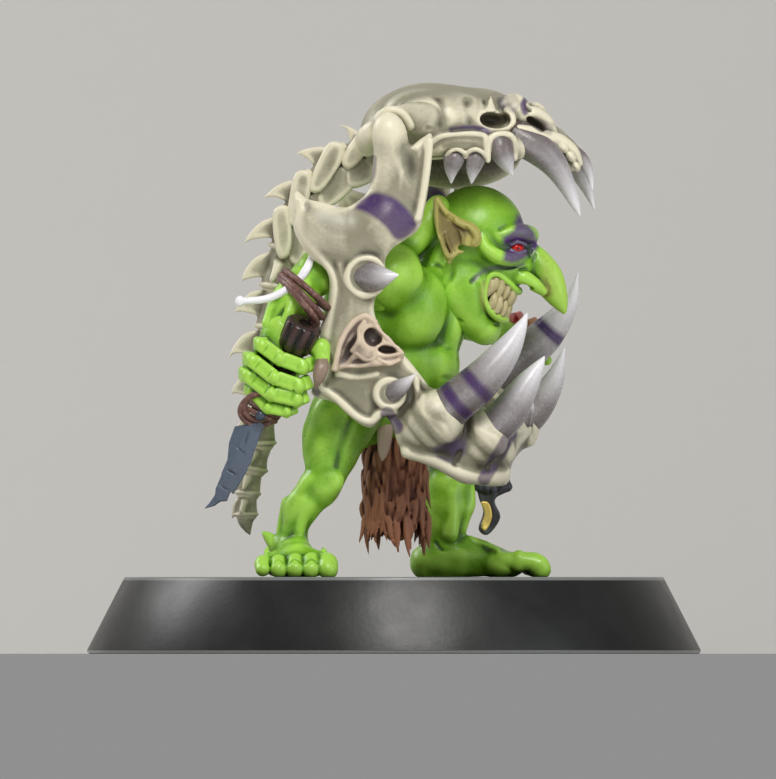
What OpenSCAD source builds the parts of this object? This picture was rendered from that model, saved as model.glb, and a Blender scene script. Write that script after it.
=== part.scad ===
// Painted miniature of a goblin hunter that wears a beast's skull as a hood, the beast's
// lower jaw round its shoulders and waist, and the beast's backbone down its back.
// The figure faces +X, its left side is +Y, and it stands on a round hollow base.
// All heights in the figure's own modules are measured up from the top of the base.

/* [Base] */
// Diameter of the base across the bottom edge
base_d = 32; // [31:0.5:36]
// Diameter of the base across the top edge
base_top_d = 28.2; // [27:0.2:30]
// Height of the base
base_h = 4; // [3:0.25:6]
// Thickness of the base's wall and top
base_wall = 1.2; // [0.8:0.1:1.6]
// Bevel on the two edges of the base
base_bevel = 0.14; // [0.05:0.01:0.3]

/* [Pins] */
// Diameter of the brass wire under each foot
pin_d = 0.8; // [0.5:0.1:1]
// How far each wire goes up into the foot
pin_rise = 1.5; // [1:0.1:1.6]

/* [Bone] */
// Thickness of the beast's jaw plates
jaw_t = 1.1; // [0.9:0.1:1.3]
// Distance from the middle of the figure to the middle of a jaw plate
jaw_reach = 6; // [5.9:0.1:6.3]
// Diameter of the backbone's vertebrae at the neck
vertebra_d = 2.5; // [2.2:0.1:2.8]

/* [Detail] */
// Number of sides on the rounded body masses
lump_sides = 12; // [10:2:14]
// Number of sides on horns, teeth and tusks
horn_sides = 10; // [8:1:14]

/* [Hidden] */
$fn = 48;
vertebrae = 12;
gap = 0.05;
chain_swell = 1.004;
plain_nodes = [
    "base", "right_foot_pin", "left_foot_pin", "torso", "right_leg", "left_leg", "head",
    "right_ear", "left_ear", "eyes", "grin_teeth", "right_arm", "right_hand", "left_arm",
    "left_hand", "trophy", "dagger_grip", "dagger_blade", "dagger_binding", "dagger_rivet",
    "forearm_bone", "forearm_thong", "fur_loincloth", "hide_strip", "hanging_cloth",
    "cloth_trim", "skull", "skull_teeth_right", "skull_teeth_left", "skull_fang_right",
    "skull_fang_left", "skull_front_fangs", "jaw_right", "jaw_left", "bone_cup",
    "jaw_spikes_right", "jaw_spikes_left", "outer_tusk_right", "outer_tusk_left",
    "inner_tusk_right", "inner_tusk_left", "jaw_front_teeth", "tail_tip"
];

// The two wires stand under the ankles
right_pin_xy = [-5.2, -3.7];
left_pin_xy = [2.9, 3];

// The dagger's own axis: from the pommel through the fist to the point of the blade
grip_top = [-4.45, -6.9, 12.9];
grip_way = [-0.504, 0, -0.863];

// Middle line of the backbone from the neck to the tail, seen from the side
back_line = [
    [-1.25, 21.7], [-2.55, 21.5], [-4.4, 20.4], [-5.7, 18.9], [-6.6, 17], [-6.9, 15],
    [-6.9, 12.9], [-6.9, 10.8], [-6.9, 8.7], [-6.9, 6.9], [-7.35, 5.6], [-7.6, 4.3], [-7.7, 3.2]
];

// Side outline of one half of the beast's lower jaw, from the joint knob round to the back
jaw_outline = [
    [-0.9, 23.1], [-0.3, 24.1], [0.5, 23.4], [0.85, 22.5], [1.5, 22.9], [2, 23], [1.8, 20.7],
    [1.4, 18.35], [0.4, 17.6], [-0.3, 17], [-1, 14.4], [-0.9, 13.4], [-0.6, 12.3], [0.5, 11.6],
    [1.4, 10.5], [2.4, 9.4], [4, 9], [5.6, 8.6], [7.2, 7.8], [6.6, 6.9], [6.1, 5.8], [5.8, 4.8],
    [4, 4.9], [2.9, 5.3], [1.6, 6.1], [0.6, 6.3], [0, 7.7], [-0.5, 8.4], [-1.2, 7.8], [-2, 8.1],
    [-3, 9], [-4.3, 9.6], [-3.6, 11], [-3.9, 12.8], [-3.5, 13.9], [-3.4, 15.7], [-4.2, 16.6],
    [-4.9, 17.6], [-5.3, 18.9], [-5.1, 20.1], [-4.4, 19.65], [-3, 19.2], [-2, 19.5],
    [-1.2, 20.3], [-1, 21.5]
];

// Middle line of each jaw half seen from above: the left half lies a little further forward
right_jaw_plan = [
    [-5.6, -jaw_reach + 0.2], [-3, -jaw_reach], [0, -jaw_reach], [2.5, -jaw_reach + 0.5],
    [4.6, -jaw_reach + 1.8], [6, -jaw_reach + 3.6], [6.7, -gap]
];
left_jaw_plan = [
    [-3.4, jaw_reach - 0.2], [-0.7, jaw_reach], [2.3, jaw_reach], [4.4, jaw_reach - 0.6],
    [5.8, jaw_reach - 2], [6.6, jaw_reach - 4], [6.8, gap]
];
left_jaw_shift = [2.3, 0.5];

// Each horn is a list of [x, y, z, radius] from its root to its tip
outer_tusk = [
    [1.9, -6.2, 8.2, 1.25], [3.2, -6.6, 9.1, 1.15], [4.6, -6.8, 10.3, 1.04],
    [5.8, -6.7, 11.7, 0.83], [6.6, -6.5, 13, 0.42], [7, -6.3, 13.8, 0.04]
];
inner_tusk = [
    [4.4, -4.9, 7.1, 1], [5.8, -5, 8.4, 1.04], [6.9, -5, 10, 0.73], [7.9, -4.9, 11.5, 0.04]
];
far_outer_tusk = [
    [4, 5.4, 9, 1.25], [6.05, 5.5, 11.05, 1.1], [7.9, 5.4, 12.6, 0.95],
    [9.1, 5.2, 14.2, 0.5], [9.6, 5, 15.95, 0.04]
];
far_inner_tusk = [
    [6, 3.6, 7.6, 0.95], [7.3, 3.6, 8.7, 0.9], [8.3, 3.5, 10.2, 0.6], [8.9, 3.4, 12, 0.04]
];

function vertebra_name(i) = str("vertebra_", i < 10 ? "0" : "", i);
function unit(v) = v / norm(v);
function xyz(v) = [v[0], v[1], v[2]];
function mirrored(path) = [for (p = path) [p[0], -p[1], p[2], p[3]]];

// Point on a smooth curve from b to c, with a and d as the neighbours and t from 0 to 1
function between(a, b, c, d, t) =
    b + 0.5 * t * (c - a + t * (2 * a - 5 * b + 4 * c - d + t * (3 * b - a - 3 * c + d)));

// Smooth open curve through the points p, with n steps from each point to the next
function curve(p, n) = let (last = len(p) - 1) concat(
    [for (i = [0:last - 1], k = [0:n - 1])
        between(p[max(i - 1, 0)], p[i], p[i + 1], p[min(i + 2, last)], k / n)],
    [p[last]]
);

// Smooth closed curve through the points p
function ring(p, n) = let (m = len(p)) [for (i = [0:m - 1], k = [0:n - 1])
    between(p[(i + m - 1) % m], p[i], p[(i + 1) % m], p[(i + 2) % m], k / n)];

// Closed outline of a strip of thickness t that follows the open line
function strip(line, t) = let (
    last = len(line) - 1,
    normal = [for (i = [0:last]) let (d = unit(line[min(i + 1, last)] - line[max(i - 1, 0)]))
        [-d[1], d[0]] * t / 2]
) concat(
    [for (i = [0:last]) line[i] + normal[i]],
    [for (i = [last:-1:0]) line[i] - normal[i]]
);

// Every figure part stands on the base and has one colour
module part(colour) {
    color(colour) translate([0, 0, base_h]) children();
}

// One rounded mass: centre, half sizes as a number or [x, y, z], and its turn
module lump(centre, half, turn = [0, 0, 0]) {
    translate(centre) rotate(turn) scale(half) sphere(1, $fn = lump_sides);
}

// Rounded masses joined one to the next: each entry is [centre, half sizes, turn]
module chain(masses, swell = 1) {
    for (i = [0:len(masses) - 2]) {
        hull() {
            for (k = [i, i + 1]) {
                m = masses[k];
                lump(m[0], m[1] * (k == i ? swell : 1), len(m) > 2 ? m[2] : [0, 0, 0]);
            }
        }
    }
}

// The same shape on both sides of the figure
module both_sides() {
    children();
    mirror([0, 1, 0]) children();
}

// Round horn that follows a smooth curve: flat squeezes it along Y
module horn(path, steps = 3, sides = horn_sides, flat = 1, across = [0, 1, 0]) {
    rings = curve(path, steps);
    last = len(rings) - 1;
    points = [for (i = [0:last]) let (
            way = unit(xyz(rings[min(i + 1, last)]) - xyz(rings[max(i - 1, 0)])),
            u = unit(cross(way, across)),
            v = cross(way, u)
        ) for (k = [0:sides - 1]) xyz(rings[i]) + max(rings[i][3], 0.04)
            * (cos(360 * k / sides) * u + flat * sin(360 * k / sides) * v)];
    walls = [for (i = [0:last - 1], k = [0:sides - 1]) let (
            a = i * sides + k,
            b = i * sides + (k + 1) % sides
        ) each [[a, a + sides, b], [b, a + sides, b + sides]]];
    root = [for (k = [0:sides - 1]) k];
    tip = [for (k = [sides - 1:-1:0]) last * sides + k];
    polyhedron(points, concat([root, tip], walls), convexity = 4);
}

// A solid that stands along the line from a towards b, drawn as if standing up from the origin
module along(a, b) {
    d = b - a;
    translate(a) rotate([0, acos(d[2] / norm(d)), atan2(d[1], d[0])]) children();
}

module ground_cut() {
    translate([-20, -20, -10]) cube([40, 40, 10]);
}

// ---- Base and pins ----

module pin_hole(xy) {
    translate([xy[0], xy[1], base_h - base_wall - 1]) cylinder(d = pin_d, h = base_wall + 2);
}

module base() {
    r = base_d / 2;
    r_top = base_top_d / 2;
    color("#2b2f2d") difference() {
        rotate_extrude($fn = 128) polygon([
            [r - base_wall, 0], [r - base_bevel, 0], [r, base_bevel],
            [r_top, base_h - base_bevel], [r_top - base_bevel, base_h], [0, base_h],
            [0, base_h - base_wall], [r_top - base_wall, base_h - base_wall]
        ]);
        pin_hole(right_pin_xy);
        pin_hole(left_pin_xy);
    }
}

module foot_pin(xy) {
    color("goldenrod") translate([xy[0], xy[1], base_h - base_wall])
        cylinder(d = pin_d, h = base_wall + pin_rise);
}

module right_foot_pin() {
    foot_pin(right_pin_xy);
}

module left_foot_pin() {
    foot_pin(left_pin_xy);
}

module pin_socket(xy) {
    translate([xy[0], xy[1], -1]) cylinder(d = pin_d + 2 * gap, h = 1 + pin_rise + gap);
}

// ---- Goblin ----

module torso_mass() {
    chain([
        [[-0.7, 0, 8.5], [2.1, 2.5, 1.8]],
        [[0.5, 0, 10.8], [2.3, 3, 2.1]],
        [[0.2, 0, 13.2], [2.7, 3.5, 2.5]],
        [[0, 0, 15.2], [2.5, 3.7, 2]],
        [[2.1, 0, 16.8], [1.6, 2.1, 1.6]]
    ]);
    both_sides() chain([
        [[1.7, -1.9, 13.7], [1.4, 1.7, 1.4]],
        [[0.2, -3.3, 15.2], [1.4, 1.4, 1.3]],
        [[1.9, -0.9, 17.2], [1.2, 1.1, 1.1]]
    ]);
}

module torso() {
    part("#74a834") torso_mass();
}

// Toes are short chains that fan out from the ball of the foot
module toe(root, tip, r) {
    chain([[root, r], [tip, [r, r, r * 0.8]]]);
}

module right_leg() {
    part("#7db93a") difference() {
        union() {
            chain([
                [[-1.9, -2.3, 9], [1.7, 1.6, 1.9]],
                [[-3.2, -3.3, 7.1], [1.6, 1.5, 1.6]],
                [[-3.5, -3.9, 5.4], 0.95],
                [[-3.7, -4, 4.7], 0.85],
                [[-4.8, -3.9, 4], 0.9],
                [[-5.2, -3.7, 2.3], 0.68],
                [[-5.15, -3.6, 1.1], [0.95, 1, 1]],
                [[-5.1, -5.1, 0.6], [1.75, 1.2, 0.8]]
            ]);
            for (i = [0:4]) {
                toe([-6.5 + 0.72 * i, -5.9, 0.35], [-6.75 + 0.82 * i, -6.8, 0.3], 0.36 + 0.05 * i);
            }
            chain([[[-6.1, -3.4, 1.3], 0.5], [[-6.5, -3.2, 2], 0.28]]);
        }
        torso_mass();
        ground_cut();
        pin_socket(right_pin_xy);
    }
}

module left_leg() {
    part("#7db93a") difference() {
        union() {
            chain([
                [[0.2, 2.3, 8.8], [1.7, 1.6, 1.8]],
                [[1.9, 3, 7.4], 1.5],
                [[3.2, 3.3, 5.6], 1.05],
                [[3.3, 3.2, 4], [1.1, 1, 1.2]],
                [[2.9, 3, 2.1], 0.78],
                [[2.1, 3, 0.7], [1.1, 1, 0.95]]
            ]);
            chain([
                [[2.9, 3, 1.7], 0.9],
                [[4.6, 3.1, 0.9], [1.2, 1.2, 0.95]],
                [[6.1, 3.2, 0.5], [1, 1.6, 0.65]]
            ]);
            for (i = [0:4]) {
                toe([6.6, 1.9 + 0.66 * i, 0.35], [7.75 - 0.16 * i, 1.75 + 0.76 * i, 0.3], 0.48 - 0.04 * i);
            }
        }
        torso_mass();
        ground_cut();
        pin_socket(left_pin_xy);
    }
}

// Path of the mouth from one corner round the front to the other, used by lips and teeth
function mouth_point(a) = [4.35 + 1.95 * cos(a), 1.75 * sin(a), 10.75 + 0.2 * cos(a)];

module eye_pair() {
    both_sides() translate([6.3, -1.45, 17.15]) sphere(0.42, $fn = 24);
}

// One row of teeth: root height, tip height and how many
module tooth_row(root, tip, count) {
    for (i = [0:count - 1]) {
        a = -78 + 156 * i / (count - 1);
        p = mouth_point(a);
        translate([p[0], p[1], 0]) rotate([0, 0, a]) translate([0, 0, min(root, tip)])
            cylinder(r1 = root < tip ? 0.21 : 0.05, r2 = root < tip ? 0.05 : 0.21,
                h = abs(tip - root), $fn = 16);
    }
}

module all_grin_teeth() {
    tooth_row(16, 14.6, 10);
    tooth_row(13.3, 14.4, 9);
}

module head_mass() {
    chain([
        [[3.3, 0, 17.6], [1.7, 2.2, 1.9]],
        [[4.4, 0, 18.1], [2.3, 2.5, 2.3]],
        [[6.2, 0, 17.8], [1.1, 1.75, 0.8]],
        [[5.7, 0, 16.3], [1.2, 1.7, 0.9]]
    ], chain_swell);
    chain([
        [[3.3, 0, 16.3], [1.4, 1.95, 1.5]],
        [[3.9, 0, 14.4], [1.3, 1.7, 1.3]],
        [[4.9, 0, 13.1], [0.9, 1.25, 0.85]],
        [[5.2, 0, 13.3], [0.8, 1, 0.6]]
    ], chain_swell);
    both_sides() lump([5.2, -1.5, 16.8], [0.9, 0.7, 0.7]);
    chain([
        [[6.9, 0, 17.3], [0.6, 0.8, 0.6]],
        [[7.9, 0, 16.5], [0.7, 0.85, 0.7]],
        [[8.5, 0, 15.4], [0.5, 0.7, 0.6]],
        [[8.75, 0, 14], [0.14, 0.2, 0.3]]
    ], chain_swell);
}

module head() {
    part("#86c23e") difference() {
        head_mass();
        torso_mass();
        lump([6.25, 0, 14.7], [1.75, 2.1, 1.2], [0, 8, 15]);
        eye_pair();
    }
}

// Pointed bat ear that folds back from the side of the head
module ear() {
    translate([3.7, -2.45, 17.6]) rotate([62, 0, -32]) linear_extrude(0.5) polygon(ring([
        [0.9, 0.2], [0.6, 1.2], [-0.4, 1.6], [-2.2, 2.3], [-1.9, 1], [-1.2, -0.1],
        [-1.1, -1], [-0.2, -1.7], [0.5, -0.9]
    ], 4));
}

module right_ear() {
    part("#82823f") ear();
}

module left_ear() {
    part("#82823f") mirror([0, 1, 0]) ear();
}

module eyes() {
    part("#c31a12") eye_pair();
}

module grin_teeth() {
    part("#e2d9a8") all_grin_teeth();
}

// ---- Right arm and dagger ----

module right_arm_mass() {
    chain([
        [[-0.9, -3.3, 15.2], [1.6, 1.6, 1.6]],
        [[-2.7, -4, 15.9], 1.25],
        [[-4.4, -4.8, 15.9], 1.05],
        [[-5.1, -5.5, 14.4], 1],
        [[-5.7, -6.2, 12.8], 0.78],
        [[-5.95, -6.5, 12], 0.8]
    ]);
}

module right_arm() {
    part("#7db93a") difference() {
        right_arm_mass();
        torso_mass();
        right_hand_mass();
    }
}

// Point on the dagger's axis, h below the top of the pommel
function grip_point(h) = grip_top + h * grip_way;

module right_hand_mass() {
    lump([-5.9, -6.3, 10.6], [1, 0.9, 1.4], [0, 25, 0]);
    for (i = [0:3]) {
        p = grip_point(1.7 + 0.68 * i);
        chain([
            [p + [-1, 0.3, 0.1], 0.36],
            [p + [-0.9, -0.8, 0], 0.4],
            [p + [0.2, -1.05, -0.1], 0.38],
            [p + [0.85, -0.45, -0.1], 0.33]
        ]);
    }
    chain([
        [[-5.4, -6.6, 11.9], 0.55],
        [[-4.3, -7.2, 11.6], 0.5],
        [[-3.95, -7.5, 10.8], 0.36]
    ]);
}

module right_hand() {
    part("#86c23e") difference() {
        right_hand_mass();
        grip_hole();
    }
}

module grip_hole() {
    along(grip_top, grip_point(8)) translate([0, 0, 0.4]) cylinder(r = 0.62 + gap, h = 6);
}

// Fluted wooden pommel on a round grip that runs down through the fist
module dagger_grip() {
    part("#2f1a18") along(grip_top, grip_point(8)) {
        difference() {
            cylinder(r1 = 0.85, r2 = 0.95, h = 1.2);
            for (a = [0:45:315]) {
                rotate([0, 0, a]) translate([1.02, 0, -0.1]) cylinder(r = 0.2, h = 1.5, $fn = 24);
            }
            translate([0, 0, -0.1]) cylinder(r = 0.42, h = 0.3);
        }
        translate([0, 0, 1]) cylinder(r = 0.62, h = 4.2);
    }
}

// Chipped blade with a flat fuller, drawn along its own length
module dagger_blade() {
    part("#4c5c70") along(grip_top, grip_point(8)) translate([0, 0, 5.2]) rotate([90, 0, 0])
        difference() {
            translate([0, 0, -0.28]) linear_extrude(0.56) polygon([
                [-0.8, 0], [0.75, 0], [0.86, 0.9], [0.66, 1.2], [0.8, 1.7], [0.6, 2.6],
                [0.36, 2.9], [0.42, 3.5], [0.05, 5.3], [-0.2, 5.35], [-0.48, 3.6],
                [-0.72, 2.2], [-0.52, 1.7], [-0.78, 1.2]
            ]);
            for (side = [-1, 1]) {
                translate([0, 0, side * 0.28]) linear_extrude(0.2, center = true) polygon([
                    [-0.3, 0.5], [0.3, 0.5], [0.12, 3.6], [-0.12, 3.6]
                ]);
            }
        }
}

module torus(big_r, small_r) {
    rotate_extrude() translate([big_r, 0]) circle(small_r, $fn = 24);
}

module dagger_binding() {
    part("#6e4a3e") {
        along(grip_top, grip_point(8)) for (i = [0:2]) {
            translate([0, 0, 4.2 + 0.42 * i]) rotate([0, 6, 0]) torus(0.8, 0.17);
        }
        translate(grip_point(5.6) + [0.2, -1.2, 0]) rotate([90, 0, 0]) torus(0.5, 0.15);
    }
}

module dagger_rivet() {
    part("#9aa6b6") translate(grip_point(5.7) + [0, -0.28, 0]) rotate([90, 0, 0]) {
        cylinder(r = 0.22, h = 0.2, $fn = 24);
        translate([0, 0, 0.12]) sphere(0.22, $fn = 24);
    }
}

module forearm_bone() {
    part("#d9d6cf") horn([
        [-8.1, -7.2, 14.4, 0.2], [-6.8, -7.25, 14.65, 0.24], [-5.4, -7.15, 15, 0.24],
        [-4.7, -7, 15.35, 0.22], [-4.3, -6.6, 16, 0.2], [-4.2, -6.2, 16.6, 0.1]
    ], 3, 10, 1, [0, 0, 1]);
}

// Three turns of thong round the forearm
module forearm_thong() {
    part("#6e4a3e") for (i = [0:2]) {
        translate([-4.75 - 0.22 * i, -5.15 - 0.25 * i, 15.3 - 0.5 * i]) rotate([28, 26 + 7 * i, 0])
            torus(1.22, 0.16);
    }
}

// ---- Left arm and what it holds ----

module left_arm_mass() {
    chain([
        [[0, 3.3, 15.2], [1.6, 1.5, 1.6]],
        [[1.9, 4, 14.2], 1.15],
        [[3.4, 4.7, 13.5], 0.95],
        [[4.9, 6, 13], 0.85],
        [[6, 7, 12.5], 0.65]
    ]);
}

module left_hand_mass() {
    lump([6.7, 7.2, 12], [0.95, 0.8, 0.75]);
    for (i = [0:3]) {
        chain([
            [[6.5 + 0.42 * i, 6.7, 12.2], 0.32],
            [[6.7 + 0.42 * i, 6.4, 12.9 - 0.2 * i], 0.3],
            [[6.7 + 0.42 * i, 7, 13.4 - 0.3 * i], 0.26]
        ]);
    }
}

module left_arm() {
    part("#7db93a") difference() {
        left_arm_mass();
        torso_mass();
        left_hand_mass();
    }
}

module trophy_mass() {
    lump([6.25, 7.4, 13], 0.62);
    lump([7.3, 7.45, 13], 0.52);
}

module left_hand() {
    part("#86c23e") difference() {
        left_hand_mass();
        trophy_mass();
    }
}

module trophy() {
    part("#a8453a") trophy_mass();
}

// ---- Fur and cloth ----

// Pelt made of hanging locks, longest in the middle
module fur_loincloth() {
    part("#5b3018") difference() {
        union() {
            chain([
                [[-1.1, -0.9, 7.2], [0.8, 1.3, 0.9]],
                [[0.2, -0.7, 7], [0.9, 1.5, 1]],
                [[1.2, -0.6, 6.6], [0.8, 1.3, 1]]
            ]);
            for (i = [0:5]) {
                x = -1.35 + 0.58 * i;
                side = i % 2 == 0 ? -0.35 : 0.3;
                chain([
                    [[x, -0.8 + side, 6.6], [0.55, 0.9, 0.6]],
                    [[x + 0.05, -0.8 + side, 4], [0.5, 0.75, 0.6]],
                    [[x + 0.1, -0.7 + side, 1.9 + 0.18 * abs(i - 3)], [0.26, 0.35, 0.3]]
                ]);
            }
        }
        torso_mass();
        ground_cut();
    }
}

module hide_strip() {
    part("#b08a84") translate([-0.5, -2.3, 6.2]) rotate([90, 0, 0]) linear_extrude(0.35)
        polygon(ring([[-0.35, 1.5], [0.35, 1.4], [0.3, 0.6], [0.05, 0], [-0.3, 0.5]], 4));
}

// Short rag that hangs from the left half of the jaw, with a lighter lining behind it
module hanging_cloth() {
    part("#17171b") translate([0, 4.6, 0]) rotate([90, 0, 0]) linear_extrude(0.45) polygon(ring([
        [4.3, 5.3], [6, 5.2], [5.95, 4.5], [5.2, 4], [5.5, 3.1], [4.9, 2.2], [4.35, 2.5],
        [4.6, 3.4], [4.35, 4.2]
    ], 3));
}

module cloth_trim() {
    part("#c29a2e") translate([0, 4.13, 0]) rotate([90, 0, 0]) linear_extrude(0.2) polygon(ring([
        [4.5, 3.9], [4.9, 3.8], [5.1, 3.1], [4.8, 2.4], [4.55, 2.6], [4.7, 3.3]
    ], 3));
}

// ---- The beast's skull ----

module skull_horns() {
    for (p = [skull_fang, far_skull_fang]) {
        horn(p);
    }
    front_fangs();
}

skull_fang = [
    [6.3, -2.3, 22.9, 0.95], [7.6, -2.4, 22.35, 0.92], [8.9, -2.3, 20.9, 0.6], [9.7, -2.2, 18.9, 0.04]
];
far_skull_fang = [
    [7.1, 2.1, 22.9, 0.9], [8.5, 2.2, 22.4, 0.88], [9.8, 2.1, 21, 0.55], [10.5, 2, 19.2, 0.04]
];

module front_fangs() {
    for (y = [-0.6, 0.75]) {
        horn([[8.4, y, 22.5, 0.45], [9.6, y, 21.9, 0.42], [10.2, y, 21.1, 0.26], [10.4, y, 20.2, 0.04]]);
    }
}

// Three cheek teeth on one side, the front one the largest
module cheek_teeth() {
    horn([[2.9, -3.55, 22.2, 0.45], [2.95, -3.6, 21.4, 0.38], [3, -3.6, 20.6, 0.04]], 2);
    horn([[4.1, -3.4, 22.1, 0.45], [4.1, -3.45, 21.3, 0.38], [4.1, -3.4, 20.5, 0.04]], 2);
    horn([[5.3, -3.1, 22.7, 0.6], [5.8, -3.2, 21.8, 0.5], [6.15, -3.1, 20.95, 0.04]], 2);
}

module skull() {
    part("#bdb69a") difference() {
        union() {
            chain([
                [[-0.62, 0, 22.23], [0.66, 2.21, 1.32]],
                [[1.87, 0, 23.16], [2.98, 4.02, 2.51]],
                [[5.07, 0, 23.59], [1.72, 2.89, 1.61]],
                [[7.25, 0, 23.32], [1.39, 1.97, 1.28]],
                [[8.70, 0, 22.64], [0.78, 1.38, 0.84]]
            ], chain_swell);
            both_sides() {
                chain([
                    [[2.60, -3.28, 22.46], [0.76, 0.57, 0.94]],
                    [[4.42, -3.07, 22.51], [0.89, 0.60, 0.91]],
                    [[6.24, -2.41, 22.74], [1.01, 0.73, 1.00]]
                ], chain_swell);
                chain([
                    [[4.02, -3.52, 23.70], 0.59],
                    [[1.56, -4.65, 24.02], [0.70, 0.64, 0.68]],
                    [[-0.41, -4.75, 23.71], [0.73, 0.59, 0.72]]
                ], chain_swell);
            }
            lump([6.02, -1.68, 24.26], [0.76, 0.60, 0.68], [0, 0, 20]);
            lump([7.26, 1.15, 24.20], [0.86, 0.70, 0.79], [0, 12, 8]);
        }
        lump([2.43, 0, 21.01], [2.91, 2.60, 3.25], [0, 0, 15]);
        both_sides() {
            lump([5.17, -2.68, 23.91], [0.80, 0.88, 0.54]);
            lump([7.53, -1.85, 23.38], [0.45, 0.83, 0.36]);
        }
        skull_horns();
        jaw_knob([0, 0], gap);
        mirror([0, 0.96, 0]) jaw_knob(left_jaw_shift, gap);
    }
}

module skull_teeth_right() {
    part("#a9a6b2") cheek_teeth();
}

module skull_teeth_left() {
    part("#a9a6b2") mirror([0, 1, 0]) cheek_teeth();
}

module skull_fang_right() {
    part("#c9c8d2") horn(skull_fang);
}

module skull_fang_left() {
    part("#c9c8d2") horn(far_skull_fang);
}

module skull_front_fangs() {
    part("#c9c8d2") front_fangs();
}

// ---- The beast's lower jaw ----

// One half: its side outline cut through a strip that bends round the figure
module jaw_half(plan, shift) {
    intersection() {
        translate([shift[0], 20, shift[1]]) rotate([90, 0, 0]) linear_extrude(40)
            polygon(ring(jaw_outline, 2));
        linear_extrude(40) polygon(strip(curve(plan, 3), jaw_t));
    }
}

module jaw_right_mass() {
    jaw_half(right_jaw_plan, [0, 0]);
}

module jaw_left_mass() {
    jaw_half(left_jaw_plan, left_jaw_shift);
}

// Round knob on the inner side of the plate that sits in the skull's cheek
module jaw_knob(shift, extra = 0) {
    translate([-0.3 + shift[0], -jaw_reach + jaw_t / 2 - 0.05, 23.3 + shift[1]]) rotate([-90, 0, 0])
        cylinder(r = 0.55 + extra, h = 1 + extra, $fn = 16);
}

// Raised rim round the root of a tusk or a spike
module socket_rim(path, extra) {
    a = xyz(path[0]);
    b = xyz(path[1]);
    along(a, b) translate([0, 0, -0.1]) cylinder(r = path[0][3] + extra, h = 0.7, $fn = 32);
}

module jaw_right() {
    part("#bdb69a") difference() {
        union() {
            jaw_right_mass();
            jaw_knob([0, 0]);
            socket_rim(outer_tusk, 0.3);
            socket_rim(inner_tusk, 0.25);
            for (p = spikes) {
                socket_rim(p, 0.25);
            }
        }
        horn(outer_tusk);
        horn(inner_tusk);
        spike_pair();
    }
}

module jaw_left() {
    part("#bdb69a") difference() {
        union() {
            jaw_left_mass();
            mirror([0, 1, 0]) jaw_knob(left_jaw_shift);
            socket_rim(far_outer_tusk, 0.3);
            socket_rim(far_inner_tusk, 0.25);
            for (p = far_spikes) {
                socket_rim(p, 0.25);
            }
        }
        horn(far_outer_tusk);
        horn(far_inner_tusk);
        far_spike_pair();
    }
}

// Two short spikes stand out from the side of each jaw half
spikes = [
    [[-1.5, -6.3, 15.7, 0.85], [-1.1, -7, 15.75, 0.75], [-0.3, -7.5, 15.8, 0.35], [0.3, -7.8, 15.8, 0.04]],
    [[-0.1, -6.3, 9.6, 0.65], [0.2, -6.9, 9.8, 0.55], [0.7, -7.3, 10.2, 0.3], [1.1, -7.6, 10.6, 0.04]]
];
far_spikes = [for (path = spikes) [for (p = path)
    [p[0] + left_jaw_shift[0], -p[1], p[2] + left_jaw_shift[1], p[3]]]];

module spike_pair() {
    for (p = spikes) {
        horn(p, 2, 10, 1, [0, 0, 1]);
    }
}

module far_spike_pair() {
    for (p = far_spikes) {
        horn(p, 2, 10, 1, [0, 0, 1]);
    }
}

module jaw_spikes_right() {
    part("#b4b1b6") spike_pair();
}

module jaw_spikes_left() {
    part("#b4b1b6") far_spike_pair();
}

// Broken swelling on the right half with torn edges and two holes
module bone_cup() {
    part("#9c8478") translate([0, -jaw_reach - jaw_t / 2, 0]) rotate([90, 0, 0]) difference() {
        linear_extrude(0.75) polygon(ring([
            [-3, 10.9], [-2.5, 12.2], [-1.6, 13.6], [-0.9, 12.9], [0.1, 12.2], [0.6, 11.5],
            [-0.6, 11], [-1.8, 10.7]
        ], 4));
        translate([-1.35, 12.45, 0.25]) cylinder(r = 0.42, h = 1);
        translate([-0.45, 11.7, 0.25]) cylinder(r = 0.34, h = 1);
    }
}

module outer_tusk_right() {
    part("#b9b8c6") horn(outer_tusk);
}

module outer_tusk_left() {
    part("#b9b8c6") horn(far_outer_tusk);
}

module inner_tusk_right() {
    part("#b9b8c6") horn(inner_tusk);
}

module inner_tusk_left() {
    part("#b9b8c6") horn(far_inner_tusk);
}

// Small teeth along the front edge of the jaw
module jaw_front_teeth() {
    part("#c4c2c6") for (p = [[6.7, -0.9, 7.9], [6.85, 0.6, 7.9], [6.3, -2.4, 8]]) {
        horn([[p[0], p[1], p[2], 0.4], [p[0] + 0.2, p[1], p[2] + 0.8, 0.3],
            [p[0] + 0.3, p[1], p[2] + 1.5, 0.04]], 2);
    }
}

// ---- The beast's backbone ----

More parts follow.
